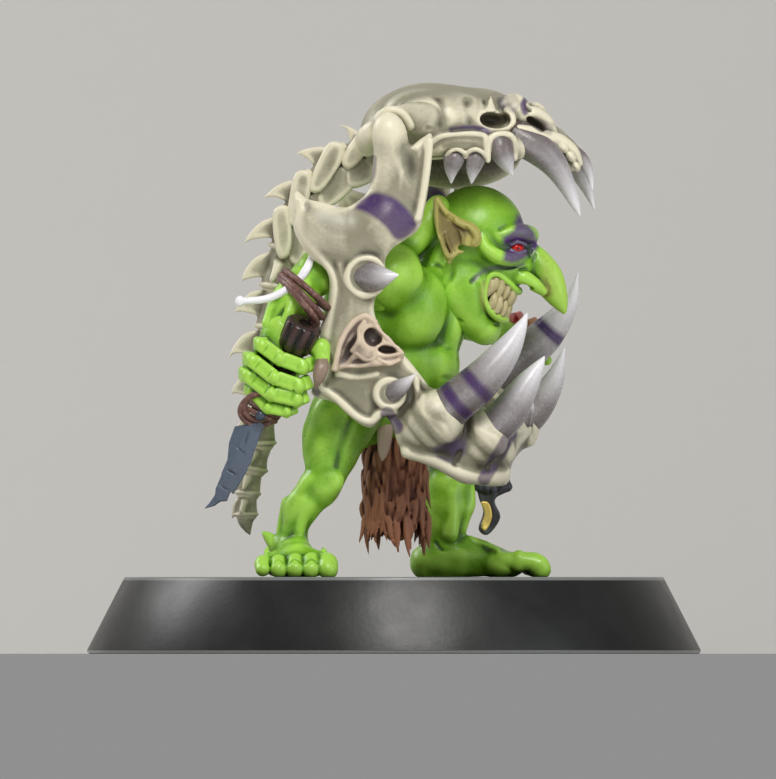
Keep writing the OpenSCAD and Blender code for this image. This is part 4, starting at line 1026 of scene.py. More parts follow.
def bladeClay():
    # Knapped blade: three overlapping chipped plates, thin at the edges and thick along the middle
    clay = Clay((-10.4, -7.9, 3.3), (-6, -5.9, 9), blade["grain"])
    plates = [[(-8.3, 7.85), (-6.95, 8.1), (-6.75, 7.9), (-7.25, 6.6), (-7.45, 5.95), (-8.05, 4.95),
               (-8.7, 5.9), (-8.6, 7)], [(-8.6, 6.3), (-7.6, 5.6), (-8.35, 4.35), (-8.85, 4.6), (-9, 5.4)],
              [(-9, 5.3), (-8.45, 4.6), (-8.7, 3.95), (-9.35, 3.9), (-9.3, 4.6)],
              [(-9.2, 4.5), (-8.8, 4.1), (-9.35, 3.7), (-9.9, 3.55), (-9.6, 3.9)],]
    axisSlope = gripWay[0] / gripWay[2]

    for number, outline in enumerate(plates):
        clay.plate(outline, flatAt(blade["middleY"]), blade["thick"] * (1.15 - 0.17 * number), edge=0.07,
                   soft=0.03)
    # The faces slope down from the middle line to both edges
    x, y, z = clay.everywhere()
    offAxis = np.abs((x - gripTop[0]) - axisSlope * (z - gripTop[2]) + 0.1)
    clay.d = np.maximum(clay.d, (np.abs(y - blade["middleY"]) - (0.34 - 0.26 * offAxis)).astype(np.float32))
    for a, b in [((-8.3, -7.2, 6.9), (-7.4, -7.2, 6.1)), ((-8.7, -7.15, 5.6), (-8, -7.15, 5.2)),
                 ((-7.6, -7.22, 7.7), (-7.8, -7.22, 6.4)), ((-9.1, -7.12, 4.8), (-8.6, -7.12, 4.5))]:
        clay.line([a, b], 0.06, 0.05)
        clay.line([(p[0], 2 * blade["middleY"] - p[1], p[2]) for p in (a, b)], 0.06, 0.05)
    return clay


def wrapTree(name, profileRadius, material):
    # Round cord swept along a path, its circle profile squashed by the flatness
    tree = bpy.data.node_groups.new(name, "GeometryNodeTree")
    tree.interface.new_socket("Path", in_out="INPUT", socket_type="NodeSocketGeometry")
    thick = tree.interface.new_socket("Cord radius", in_out="INPUT", socket_type="NodeSocketFloat")
    thick.default_value = profileRadius
    squash = tree.interface.new_socket("Flatness", in_out="INPUT", socket_type="NodeSocketFloat")
    squash.default_value = 0.7
    tree.interface.new_socket("Cord", in_out="OUTPUT", socket_type="NodeSocketGeometry")
    inward = tree.nodes.new("NodeGroupInput")
    outward = tree.nodes.new("NodeGroupOutput")
    profile = tree.nodes.new("GeometryNodeCurvePrimitiveCircle")
    profile.inputs["Resolution"].default_value = 18
    tree.links.new(inward.outputs["Cord radius"], profile.inputs["Radius"])
    flatten = tree.nodes.new("GeometryNodeTransform")
    scale = tree.nodes.new("ShaderNodeCombineXYZ")
    scale.inputs[0].default_value = 1.0
    scale.inputs[2].default_value = 1.0
    tree.links.new(inward.outputs["Flatness"], scale.inputs[1])
    tree.links.new(profile.outputs["Curve"], flatten.inputs["Geometry"])
    tree.links.new(scale.outputs[0], flatten.inputs["Scale"])
    sweep = tree.nodes.new("GeometryNodeCurveToMesh")
    sweep.inputs["Fill Caps"].default_value = True
    tree.links.new(inward.outputs["Path"], sweep.inputs["Curve"])
    tree.links.new(flatten.outputs["Geometry"], sweep.inputs["Profile Curve"])
    realize = tree.nodes.new("GeometryNodeRealizeInstances")
    paintNode = tree.nodes.new("GeometryNodeSetMaterial")
    paintNode.inputs["Material"].default_value = material
    tree.links.new(sweep.outputs["Mesh"], realize.inputs["Geometry"])
    tree.links.new(realize.outputs["Geometry"], paintNode.inputs["Geometry"])
    tree.links.new(paintNode.outputs["Geometry"], outward.inputs["Cord"])
    return tree, thick.identifier, squash.identifier


leatherWrap = wrapTree("leatherWrap", 0.00016, materials["leather"])


def wrapMesh(name, loops, radius, flatness, closed=True):
    # One curve object of several loops goes through the wrap tree and comes back as a plain mesh
    curve = bpy.data.curves.new(name + "Path", "CURVE")
    curve.dimensions = "3D"
    for loop in loops:
        spline = curve.splines.new("POLY")
        spline.points.add(len(loop) - 1)
        spline.use_cyclic_u = closed
        for point, spot in zip(spline.points, loop):
            point.co = (*((np.array(spot) + [0, 0, ground]) * mm), 1)
    guide = bpy.data.objects.new(name + "Path", curve)
    bpy.context.scene.collection.objects.link(guide)
    tree, radiusSocket, flatSocket = leatherWrap
    modifier = guide.modifiers.new("wrap", "NODES")
    modifier.node_group = tree
    modifier[radiusSocket] = radius * mm
    modifier[flatSocket] = flatness
    graph = bpy.context.evaluated_depsgraph_get()
    mesh = bpy.data.meshes.new_from_object(guide.evaluated_get(graph))
    mesh.name = name
    bpy.data.objects.remove(guide)
    count = len(mesh.vertices)
    chance = np.random.default_rng(count)
    for key in ("crease", "band", "along"):
        value = np.repeat(chance.uniform(-0.35, 0.45, (count + 2) // 3),
                          3)[:count] if key == "crease" else np.zeros(count)
        mesh.attributes.new(key, "FLOAT", "POINT").data.foreach_set("value", value.astype(np.float32))
    mesh.shade_smooth()
    return mesh


def ringLoop(centre, across, side, wide, deep, wobble=0.0, seed=0):
    chance = np.random.default_rng(seed)
    phase = chance.uniform(0, 6.3, 2)
    angle = np.linspace(0, 2 * math.pi, 72, endpoint=False)
    reach = 1 + wobble * (np.sin(2 * angle + phase[0]) + 0.5 * np.sin(5 * angle + phase[1]))
    return [np.array(centre) + r * (wide * math.cos(a) * np.array(across) + deep * math.sin(a)
                                    * np.array(side)) for a, r in zip(angle, reach)]


def makeWraps():
    # Forearm thong: three bands round the forearm
    loops = []
    for number, (centre, lean) in enumerate([((-5, -5.6, 14.35), -0.08), ((-4.85, -5.55, 14.6), 0.02),
                                             ((-4.55, -5.45, 14.95), 0.1)]):
        across = np.array([math.cos(lean - 0.83), 0.0, math.sin(lean - 0.83)])
        side = np.array([-0.2, 1.0, 0.12])
        loops.append(ringLoop(centre, across, side / np.linalg.norm(side), 1.45, 2, 0.015, number))
    place("forearmThong", wrapMesh("forearmThong", loops, 0.21, 0.8), None, "forearm_thong", slot="leather")
    # Dagger binding: turns round the tang below the fist and two loose loops over the rivet
    across, side = gripFrame()
    loops = [ringLoop(gripAt(4.75 + 0.3 * i), across + gripWay * (0.12 - 0.08 * i), side, 0.78 + 0.02 * i,
                      0.72, 0.01, i) for i in range(3)]
    for radius, drop in ((1.08, 0.0), (0.86, 0.12)):
        loops.append(ringLoop((-6.95, -7.35 - drop, 8.75 + drop), (0.96, 0, 0.28), (-0.25, -0.42, 0.87),
                              radius, radius * 0.84, 0.02, 7))
    place("daggerBinding", wrapMesh("daggerBinding", loops, 0.16, 0.8), None, "dagger_binding",
          slot="leather")


def makeRivet():
    rings = [(1e-4, 0.22), (0.15, 0.2), (0.26, 0.1), (0.3, 0), (0.3, -0.25), (1e-4, -0.25)]
    points, faces = latheMesh(rings[::-1], 40)
    spot = np.array([-6.95, -7.62, 8.42])
    points = points[:, [0, 2, 1]] * [1, -1, 1] + spot
    values = {key: np.zeros(len(points)) + (0.4 if key == "crease" else 0)
              for key in ("crease", "band", "along")}
    place("bindingRivet", buildMesh("bindingRivet", points, faces, values), "steel", "dagger_rivet")


# Left arm and what it holds

def leftArmClay():
    clay = Clay((-1.8, 0.8, 11), (8, 8.8, 18), arm["grain"])
    clay.lump((-0.1, 3.1, 15.4), (1.5, 1.5, 1.6), soft=0.3)
    clay.limb([(0.2, 3.4, 15.2, 1.3), (1.8, 4, 14.3, 1.15), (3.2, 4.6, 13.6, 0.95)], 0.3)
    clay.limb([(3.1, 4.6, 13.6, 0.9), (4.2, 5.4, 13.2, 0.95), (5.2, 6.2, 12.9, 0.78), (6.1, 7, 12.5, 0.68)],
              0.2)
    clay.lump((1.7, 4.3, 14.8), (1.1, 0.7, 0.65), (0, 30, 0), soft=0.14)
    clay.limb([(3.7, 5.8, 13.5, 0.35), (4.8, 6.5, 13.1, 0.35), (5.8, 7.2, 12.8, 0.22)], 0.12)
    return clay.roughen(0.03, 1.3, 13)


def leftHandClay():
    clay = Clay((5, 5.6, 10.6), (9.4, 9, 14.4), 0.055)
    clay.lump((6.65, 7.25, 11.75), (0.95, 0.8, 0.6), soft=0.2)
    for i in range(4):
        x = 5.85 + 0.5 * i
        path = [(x, 6.75, 11.6, 0.32), (x + 0.05, 6.25, 11.95, 0.32), (x + 0.05, 6.3, 12.4, 0.3),
                (x + 0.1, 6.75, 12.65 - 0.06 * i, 0.25)]
        clay.limb(path, 0.06)
        for spot in path[1:3]:
            clay.lump(spot[:3], 0.35, soft=0.06)
    clay.limb([(6.6, 7.9, 12, 0.36), (7.4, 8.1, 12.5, 0.34), (7.9, 7.9, 12.9, 0.28)], 0.08)
    clay.limb([(7.6, 6.6, 11.7, 0.34), (7.95, 6.5, 11.3, 0.28)], 0.08)
    return clay


def trophyClay():
    clay = Clay((5, 6, 11.8), (8.6, 8.8, 14.4), 0.055)
    clay.lump((6.2, 7.25, 13.25), (0.7, 0.56, 0.6), soft=0.1)
    clay.lump((7.3, 7.3, 13.1), (0.42, 0.46, 0.42), soft=0.12)
    clay.line([(5.8, 6.7, 13.6), (6.2, 6.6, 13.2), (6.6, 6.7, 12.8)], 0.1, 0.12)
    return clay.roughen(0.1, 0.7, 17)


# Fur, hide and rag

fur = dict(locks=175, layers=5, thickness=0.2)


def furClay():
    clay = Clay((-2.7, -3.4, 1), (2.9, 2, 8.4), 0.06)
    clay.lump((0.1, -0.75, 6.6), (1.5, 1.1, 1.3), soft=0.3)
    clay.limb([(-0.1, -0.75, 6, 1.15), (0.05, -0.7, 4, 1.1), (0.15, -0.7, 2.7, 0.85)], 0.4)
    chance = np.random.default_rng(5)
    perLayer = fur["locks"] // fur["layers"]
    for layer in range(fur["layers"]):
        top = 4 + 0.75 * layer
        for k in range(perLayer):
            around = 2 * math.pi * (k + chance.uniform(-0.4, 0.4)) / perLayer
            wide = 1.48 - 0.03 * layer + chance.uniform(-0.15, 0.12)
            x, y = 0.05 + wide * math.cos(around), -0.75 + 1.12 * math.sin(around)
            drop = chance.uniform(1.9, 3.1) * (1 if layer else 0.9)
            high = top + chance.uniform(-0.35, 0.35)
            drop = min(drop, high - 1.35 + 0.5 * abs(math.sin(2.3 * around)))
            sway = chance.uniform(-0.35, 0.35)
            size = fur["thickness"] * chance.uniform(0.7, 1.25)
            outX, outY = 0.14 * math.cos(around), 0.14 * math.sin(around)
            path = [(x * 0.9, y * 0.95 - 0.03, high, size * 0.5),
                    (x + outX, y + outY, high - 0.3 * drop, size),
                    (x + outX + sway * 0.3, y + outY, high - 0.65 * drop, size * 0.85),
                    (x + 0.9 * outX + sway, y + 0.9 * outY, high - drop, 0.05)]
            clay.limb(path, 0.06, steps=3)
            for shift in (-0.5, -0.1, 0.3, 0.65):
                offset = size * shift * np.array([-math.sin(around), math.cos(around), 0])
                out = size * 0.95 * np.array([math.cos(around), math.sin(around), 0])
                clay.line([np.array(p[:3]) + offset + out * (0.95 if p[3] > 0.1 else 0.2) for p in path],
                          0.05, chance.uniform(0.03, 0.09), 3)
    return clay


def ragClay():
    clay = Clay((3.4, 3.2, 1.6), (6.9, 5.4, 5.9), 0.055)
    outline = smoothRing([(4.35, 5.25), (5.95, 5.15), (5.9, 4.5), (5.25, 4), (5.55, 3.1), (4.9, 2.2),
                          (4.4, 2.5), (4.65, 3.4), (4.4, 4.2)], 4)

    def middle(x, z):
        return 4.38 + 0.16 * np.sin(3.4 * x + 1.2 * z), 1.1

    clay.plate(outline, middle, 0.34, edge=0.12)
    clay.limb([(4.4, 4.38, 4.75, 0.3), (5.2, 4.3, 4.6, 0.32), (5.9, 4.4, 4.7, 0.28)], 0.08)
    for x in (4.7, 5.1, 5.5):
        clay.line([(x, 4.1, 5.1), (x - 0.1, 4.1, 4.2), (x - 0.15, 4.15, 3)], 0.1, 0.09)
    return clay


def trimClay():
    clay = Clay((4, 3.4, 1.9), (5.8, 4.6, 4.3), 0.05)
    outline = smoothRing([(4.52, 3.9), (4.95, 3.85), (5.12, 3.1), (4.8, 2.42), (4.55, 2.6), (4.72, 3.3)], 4)

    def middle(x, z):
        return 4.05 + 0.1 * np.sin(3.4 * x + 1.2 * z), 1.05

    clay.plate(outline, middle, 0.2, edge=0.08)
    return clay


def hideClay():
    clay = Clay((-1.4, -3, 5.7), (0.5, -1.6, 8.3), 0.05)
    clay.limb([(-0.45, -2.25, 7.8, 0.42), (-0.5, -2.35, 7.1, 0.38), (-0.55, -2.3, 6.5, 0.26),
               (-0.6, -2.2, 6.1, 0.08)], 0.1, flat=0.6)
    clay.line([(-0.6, -2.6, 7.7), (-0.62, -2.65, 7), (-0.6, -2.5, 6.4)], 0.08, 0.1)
    clay.line([(-0.3, -2.6, 7.7), (-0.38, -2.65, 7), (-0.5, -2.5, 6.4)], 0.08, 0.08)
    return clay


# The monster skull worn over the back

rightFang = [(6.1, -2.3, 23.1, 0.9), (7.4, -2.4, 22.4, 0.88), (8.35, -2.35, 21.5, 0.7), (9, -2.3, 20.4, 0.46),
             (9.45, -2.25, 19.4, 0.25), (9.7, -2.2, 18.8, 0.03)]
leftFang = [(7.1, 2.1, 22.9, 0.85), (8.5, 2.2, 22.4, 0.82), (9.4, 2.15, 21.6, 0.62), (10, 2.1, 20.4, 0.36),
            (10.45, 2, 19.15, 0.03)]
frontFangs = [[(8.4, y, 22.5, 0.45), (9.6, y, 21.9, 0.42), (10.15, y, 21.1, 0.26), (10.35, y, 20.15, 0.03)]
              for y in (-0.6, 0.75)]
cheekTeeth = [[(5.5, -3.15, 22.85, 0.62), (5.6, -3.42, 22.3, 0.66), (5.85, -3.45, 21.6, 0.46),
               (6.18, -3.35, 20.93, 0.04)], [(4.35, -3.4, 22.2, 0.5), (4.22, -3.65, 21.7, 0.5),
                                             (4.1, -3.6, 21.1, 0.32), (4.04, -3.5, 20.5, 0.04)],
              [(3.25, -3.45, 22.2, 0.54), (3.1, -3.7, 21.7, 0.54), (3, -3.65, 21.15, 0.34),
               (2.98, -3.5, 20.52, 0.04)],]
skull = dict(grain=0.085)


def skullClay():
    clay = Clay((-2.6, -5.8, 19.6), (11, 5.8, 26.6), skull["grain"])
    clay.lump((1.9, 0, 23.3), (3.3, 3.6, 2.45), (0, 3, 0))
    clay.lump((-0.3, 0, 22.8), (1.5, 2.7, 2), soft=0.6)
    clay.lump((4.3, 0, 23.6), (2.6, 3.1, 1.9), (0, 4, 0), soft=0.6)
    clay.lump((6.3, 0, 23.2), (1.9, 2.4, 1.5), (0, 14, 0), soft=0.5)
    clay.lump((8, 0, 22.6), (1.5, 1.8, 1), (0, 30, 0), soft=0.4)
    clay.lump((9.2, 0, 21.9), (0.8, 1.4, 0.7), (0, 40, 0), soft=0.3)
    for side in (1, -1):
        def at(x, y, z, *rest):
            return (x, side * y, z, *rest)

        # Temple, brow lump and the pale wedge in front of it
        clay.lump(at(1.6, -2.4, 24.2), (1.9, 0.9, 0.9), (0, 8, 0), soft=0.9)
        clay.lump(at(3.6, -2.5, 24.1), (1.1, 0.8, 0.9), (0, 10, 0), soft=0.8)
        clay.lump(at(6.25, -1.75, 24.35), (0.85, 1, 0.82), (0, 10, 12), soft=0.16)
        clay.limb([at(5.05, -2, 25.1, 0.05), at(5.05, -2.6, 24.65, 0.15), at(5.05, -3, 24.2, 0.27)], 0.06)
        clay.limb([at(5.9, -2.75, 24.3, 0.2), at(6.15, -2.85, 23.8, 0.24), at(5.8, -3, 23.4, 0.26),
                   at(5.1, -3.15, 23.3, 0.25)], 0.18)
        # Cheek arch: broad at the socket, ending in a hook over the jaw joint
        clay.limb([at(4.5, -2.8, 23.4, 0.7), at(3, -3, 23.7, 0.95), at(1.7, -3.5, 23.9, 0.95),
                   at(0.6, -4.1, 23.9, 0.75), at(-0.4, -4.5, 23.8, 0.65)], 0.9, flat=0.8)
        clay.limb([at(-0.85, -5.05, 23.8, 0.2), at(-0.35, -5.4, 24.3, 0.22), at(0.3, -5.4, 24.25, 0.22),
                   at(0.75, -5.2, 23.75, 0.22), at(1, -4.9, 23.1, 0.2)], 0.16)
        clay.limb([at(-0.5, -4.4, 23.6, 0.5), at(-1.3, -3.7, 23, 0.6), at(-1.4, -2.6, 22.5, 0.6)], 0.3)
        # Upper jaw: a lobed shelf over the cheek teeth and an arch over the big one
        clay.limb([at(2, -3.35, 22.35, 0.42), at(3.1, -3.5, 22.6, 0.62), at(4.3, -3.4, 22.6, 0.6),
                   at(5.6, -3, 22.55, 0.66), at(6.5, -2.6, 22.5, 0.7)], 0.25)
        clay.limb([at(1.65, -3.7, 22.35, 0.16), at(2.3, -3.95, 22.9, 0.17), at(3.3, -4, 23.1, 0.17),
                   at(4.3, -3.9, 23.1, 0.17), at(4.75, -3.85, 22.9, 0.16), at(4.75, -3.85, 22, 0.15)], 0.14)
        for x in (3.3, 4.28):
            clay.limb([at(x - 0.58, -3.9, 21.9, 0.1), at(x - 0.4, -4.15, 22.15, 0.12),
                       at(x - 0.05, -4.25, 22.3, 0.12), at(x + 0.3, -4.15, 22.15, 0.12),
                       at(x + 0.5, -3.9, 21.9, 0.1)], 0.08)
        clay.limb([at(4.9, -3.75, 21.7, 0.15), at(4.95, -3.8, 22.6, 0.16), at(5.25, -3.75, 23.02, 0.17),
                   at(5.95, -3.55, 23.05, 0.17), at(6.25, -3.3, 22.7, 0.16), at(6.3, -3.1, 21.8, 0.14)], 0.1)
        # Snout: nostril pillars, then scales over the roots of the fangs
        clay.limb([at(6.6, -2.3, 24, 0.35), at(7.3, -2, 24.2, 0.34), at(7.9, -1.6, 23.8, 0.33),
                   at(8.2, -1.5, 23.2, 0.32)], 0.16)
        clay.limb([at(6.5, -2.85, 23.3, 0.3), at(7.3, -2.7, 23.15, 0.32), at(7.95, -2.45, 22.95, 0.34),
                   at(8.6, -2.1, 22.75, 0.36), at(9.3, -1.7, 22.2, 0.32), at(9.6, -1.4, 21.6, 0.24)], 0.14)
        for x, y, z, size, lean in ((8.15, -2.3, 22.85, 0.42, 35), (8.75, -2.05, 22.45, 0.42, 45),
                                    (9.2, -1.85, 21.95, 0.36, 55), (9.5, -1.65, 21.4, 0.28, 60)):
            clay.lump(at(x, y, z), (size, 0.4, size * 0.62), (0, lean, 0), soft=0.05)
        clay.lump(at(7.35, -1, 24.25), (0.6, 0.7, 0.5), (0, 15, 0), soft=0.1)
        # Openings and the shadows round them
        clay.lump(at(5.2, -3.1, 23.8), (0.76, 1.1, 0.42), (0, 5, 0), soft=0.06, cut=True)
        clay.lump(at(5.65, -3.1, 23.85), (0.42, 0.9, 0.4), soft=0.06, cut=True)
        clay.lump(at(7.4, -2.2, 23.55), (0.66, 0.9, 0.25), (0, 42, 0), soft=0.06, cut=True)
        clay.lump(at(1.15, -5.1, 22.5), (0.62, 0.9, 0.9), (0, 10, 0), soft=0.2, cut=True)
        clay.line([at(6.95, -2.2, 25), at(6.9, -2.4, 24.6), at(7.05, -2.3, 24.3)], 0.12, 0.25)
        clay.line([at(5.3, -2, 25.2), at(5.4, -2.5, 24.8), at(5.5, -2.9, 24.4)], 0.1, 0.1)
        clay.line([at(4.8, -2, 25.2), at(4.7, -2.5, 24.8), at(4.6, -3, 24.3)], 0.1, 0.1)
        clay.line([at(2.3, -3.4, 24.9), at(2.5, -3.8, 24.2), at(2.4, -3.9, 23.6)], 0.28, 0.14)
        clay.line([at(3.9, -3.1, 25), at(3.7, -3.3, 24.3), at(3.9, -3.5, 23.7)], 0.25, 0.14)
        clay.line([at(1.8, -4.3, 23.4), at(3, -4.1, 23.3), at(4.4, -3.9, 23.4)], 0.12, 0.12)
        clay.line([at(6.4, -3.2, 23.35), at(7.4, -3, 22.9), at(8.2, -2.8, 22.4), at(9, -2.4, 21.6)], 0.1,
                  0.12)
        clay.line([at(2.6, -4.1, 22.45), at(3.3, -4.2, 22.6), at(4.2, -4.1, 22.5)], 0.14, 0.08)
    clay.lump((2.6, 0, 20.7), (3.5, 2.8, 2.7), (0, 12, 0), soft=0.25, cut=True)
    clay.lump((6.4, 0, 21.2), (1.9, 1.6, 0.9), (0, 20, 0), soft=0.15, cut=True)
    # The far side of the palate hangs lower
    clay.lump((3.5, 2.7, 21.5), (3, 0.8, 1.25), (0, -4, 0), soft=0.35)
    return clay.roughen(0.02, 2, 23)


# The two jaw halves worn as armour

jawOutline = smoothRing([
    (-0.9, 23.1), (-0.3, 24.1), (0.5, 23.4), (0.85, 22.5), (1.5, 22.9), (2, 23), (1.8, 20.7), (1.4, 18.35),
    (0.4, 17.6), (-0.3, 17), (-1, 14.4), (-0.9, 13.4), (-0.6, 12.3), (0.5, 11.6), (1.4, 10.5), (2.4, 9.4),
    (4, 9), (5.6, 8.6), (7.2, 7.8), (6.6, 6.9), (6.1, 5.8), (5.8, 4.8), (4, 4.9), (2.9, 5.3), (1.6, 6.1),
    (0.6, 6.3), (0, 7.7), (-0.5, 8.4), (-1.2, 7.8), (-2, 8.1), (-3, 9), (-4.3, 9.6), (-3.6, 11),
    (-3.9, 12.8), (-3.5, 13.9), (-3.4, 15.7), (-4.2, 16.6), (-4.9, 17.6), (-5.3, 18.9), (-5.1, 20.1),
    (-4.4, 19.65), (-3, 19.2), (-2, 19.5), (-1.2, 20.3), (-1, 21.5)
], 4)
jaw = dict(grain=0.075, thick=1.15, gap=0.06, edge=0.22, leftShift=(2.3, 0.5), chin=5.5, ease=5)
rightPlan = smoothLine([(-6.5, -5.6, 0), (-5.6, -5.8, 0), (-3, -6, 0), (0, -6, 0), (2.5, -5.5, 0),
                        (4.6, -4.2, 0), (6, -2.4, 0), (6.7, -0.1, 0)], 8)[:, :2]
leftPlan = smoothLine([(-4.4, 5.6, 0), (-3.4, 5.8, 0), (-0.7, 6, 0), (2.3, 6, 0), (4.4, 5.4, 0), (5.8, 4, 0),
                       (6.6, 2, 0), (6.8, 0.1, 0)], 8)[:, :2]
outerTusk = [(1.7, -6.15, 7.9, 1.2), (3.2, -6.6, 9.1, 1.12), (4.6, -6.8, 10.3, 1.02), (5.8, -6.7, 11.7, 0.76),
             (6.55, -6.5, 12.9, 0.38), (6.95, -6.3, 13.75, 0.03)]
innerTusk = [(4.2, -4.85, 6.9, 0.95), (5.8, -5, 8.4, 0.98), (6.9, -5, 10, 0.68), (7.55, -4.95, 11, 0.3),
             (7.85, -4.9, 11.5, 0.03)]
farOuterTusk = [(3.8, 5.4, 8.8, 1.2), (6.05, 5.5, 11.05, 1.08), (7.9, 5.4, 12.6, 0.92),
                (9.1, 5.2, 14.2, 0.48), (9.6, 5, 15.9, 0.03)]
farInnerTusk = [(5.9, 3.6, 7.4, 0.92), (7.3, 3.6, 8.7, 0.88), (8.3, 3.5, 10.2, 0.56), (8.9, 3.4, 11.95, 0.03)]
spikes = [[(-1.6, -6.2, 15.65, 0.82), (-1, -6.9, 15.6, 0.75), (-0.4, -7.4, 15.65, 0.45),
           (0.25, -7.75, 15.75, 0.03)], [(-0.3, -6.2, 9.5, 0.6), (0.15, -6.8, 9.75, 0.52),
                                         (0.6, -7.2, 10.1, 0.32), (1.1, -7.5, 10.55, 0.03)],]


def planDistance(x, y, plan):
    best = 1e9
    for a, b in zip(plan[:-1], plan[1:]):
        ab = b - a
        dx, dy = x - a[0], y - a[1]
        t = np.clip((dx * ab[0] + dy * ab[1]) / (ab @ ab), 0, 1)
        best = np.minimum(best, np.hypot(dx - t * ab[0], dy - t * ab[1]))
    return best


def shiftShare(x):
    # The chin end keeps its place and the back of the plate carries the shift
    return np.clip((jaw["chin"] - x) / jaw["ease"], 0, 1)


def jawClay(right=True):
    shift = (0, 0) if right else jaw["leftShift"]
    side = -1 if right else 1
    plan = rightPlan if right else leftPlan
    low = (-6.3 + shift[0] * 0.6, -8 if right else 0.06, 4.2)
    high = (8, -0.06 if right else 8, 25.2)
    clay = Clay(low, high, jaw["grain"])
    x, y, z = clay.everywhere()
    moved = shiftShare(x)
    flatX = x - shift[0] * moved
    outline = outlineDistance(flatX[:, 0, :], (z - shift[1] * moved)[:, 0, :], jawOutline)[:, None, :]
    across = planDistance(x[:, :, 0], y[:, :, 0], plan)[:, :, None]
    # The plate swells towards its middle and thins to a rounded edge
    thick = jaw["thick"] / 2 - 0.14 + 0.3 * np.clip(-outline / 1.5, 0, 1) ** 0.8
    clay.d = roundedCorner(outline, across - thick, jaw["edge"])

    def at(px, pz, out=0.0, *rest):
        # A point on the outer face of the plate
        share = float(shiftShare(px))
        qx = px + shift[0] * share
        row = np.argmin(np.abs(plan[:, 0] - qx))
        return (qx, plan[row, 1] + side * (jaw["thick"] / 2 + out), pz + shift[1] * share, *rest)

    def ridge(spots, size, out=-0.1, soft=0.3):
        clay.limb([at(px, pz, out, size) for px, pz in spots], soft)

    # Jaw joint, front edge of the blade and the swellings of the plate
    clay.lump(at(-0.3, 23.2, -0.3), (0.78, 0.75, 0.95), soft=0.4)
    clay.limb([at(-0.3, 23.2, -0.3, 0.6), at(-0.35, 21.5, -0.4, 0.62), at(-0.5, 20, -0.5, 0.6)], 0.5)
    ridge([(1.85, 22.7), (1.72, 21.4), (1.5, 19.8), (1.25, 18.7)], 0.2, 0, 0.2)
    clay.lump(at(0.95, 21.6, 0.3), (0.4, 0.4, 1), (0, -6, 0), soft=0.3, cut=True)
    clay.lump(at(-3.3, 17.9, -0.2), (1.8, 0.7, 1.2), (0, 25, 0), soft=0.7)
    clay.lump(at(-0.6, 18.3, -0.3), (1.4, 0.7, 1.1), (0, -30, 0), soft=0.7)
    clay.lump(at(-2.4, 13, -0.25), (0.9, 0.6, 2.2), (0, 5, 0), soft=0.6)
    ridge([(-4.9, 19.6), (-4.6, 18), (-3.7, 16.6), (-3.1, 15.4), (-3.2, 13.8), (-3.5, 12.6)], 0.18, -0.05,
          0.3)
    ridge([(-2.9, 10.6), (-1.9, 10.4), (-0.9, 10.55)], 0.16, 0.06, 0.14)
    ridge([(-3.9, 9.9), (-3, 9.3), (-2, 8.4), (-1.25, 8.1), (-0.7, 8.55), (0, 8.65)], 0.22, -0.02, 0.2)
    ridge([(0.7, 6.5), (2, 6.1), (3.4, 5.4), (4.8, 5.2), (5.7, 5.4)], 0.34, -0.1, 0.3)
    ridge([(1.15, 10.3), (1.25, 9.4), (1.5, 8.4), (1.55, 7.4)], 0.17, 0.05, 0.14)
    for px, pz, size in ((4.2, 6.9, 0.85), (2.7, 7.2, 0.8), (5.6, 6.6, 0.7)):
        clay.lump(at(px, pz, -0.25), (size, 0.7, size), soft=0.35)
    for spots in ([(3.4, 8), (3.5, 6.8), (3.2, 5.9)], [(4.9, 8), (5, 6.8), (4.9, 5.7)],
                  [(5.9, 7.3), (6, 6.5), (5.8, 5.9)]):
        clay.line([at(px, pz, 0.2) for px, pz in spots], 0.14, 0.2)
    # Rims round the roots of the two spikes and the two tusks
    for (px, pz), size in (((-1.45, 15.65), 0.98), ((-0.2, 9.55), 0.72)):
        clay.lump(at(px, pz, -0.2), (size + 0.1, 0.5, size + 0.1), soft=0.35)
        ring = [at(px + size * math.cos(w), pz + size * math.sin(w), 0.18, 0.15)
                for w in np.linspace(0, 2 * math.pi, 13)]
        clay.limb(ring, 0.14, steps=3)
    tusk, inner = (outerTusk, innerTusk) if right else (farOuterTusk, farInnerTusk)
    for path in (tusk, inner):
        a, b = np.array(path[0]), np.array(path[1])
        clay.limb([tuple(a - 0.2 * (b - a)), tuple(a + 0.3 * (b - a) + [0, 0, 0, 0.36])], 0.4, steps=2)
        way = (b - a)[:3] / np.linalg.norm((b - a)[:3])
        u = np.cross(way, [0, 1, 0])
        v = np.cross(way, u)
        rim = [tuple(a[:3] + 0.4 * (b - a)[:3] + (a[3] + 0.16) * (math.cos(w) * u + math.sin(w) * v)
                     + 0.16 * math.sin(4 * w) * way) + (0.17,) for w in np.linspace(0, 2 * math.pi, 17)]
        clay.limb(rim, 0.14, steps=3)
    ridge([(-2.8, 16.3), (-2.6, 15.3), (-2.15, 14.1)], 0.1, 0.02, 0.25)
    clay.line([at(-3.6, 12, 0.1), at(-3.2, 10.8, 0.1), at(-3.6, 10, 0.1)], 0.12, 0.1)
    clay.roughen(0.025, 2, 31 if right else 37)
    clay.d = np.maximum(clay.d, jaw["gap"] - side * y)
    return clay


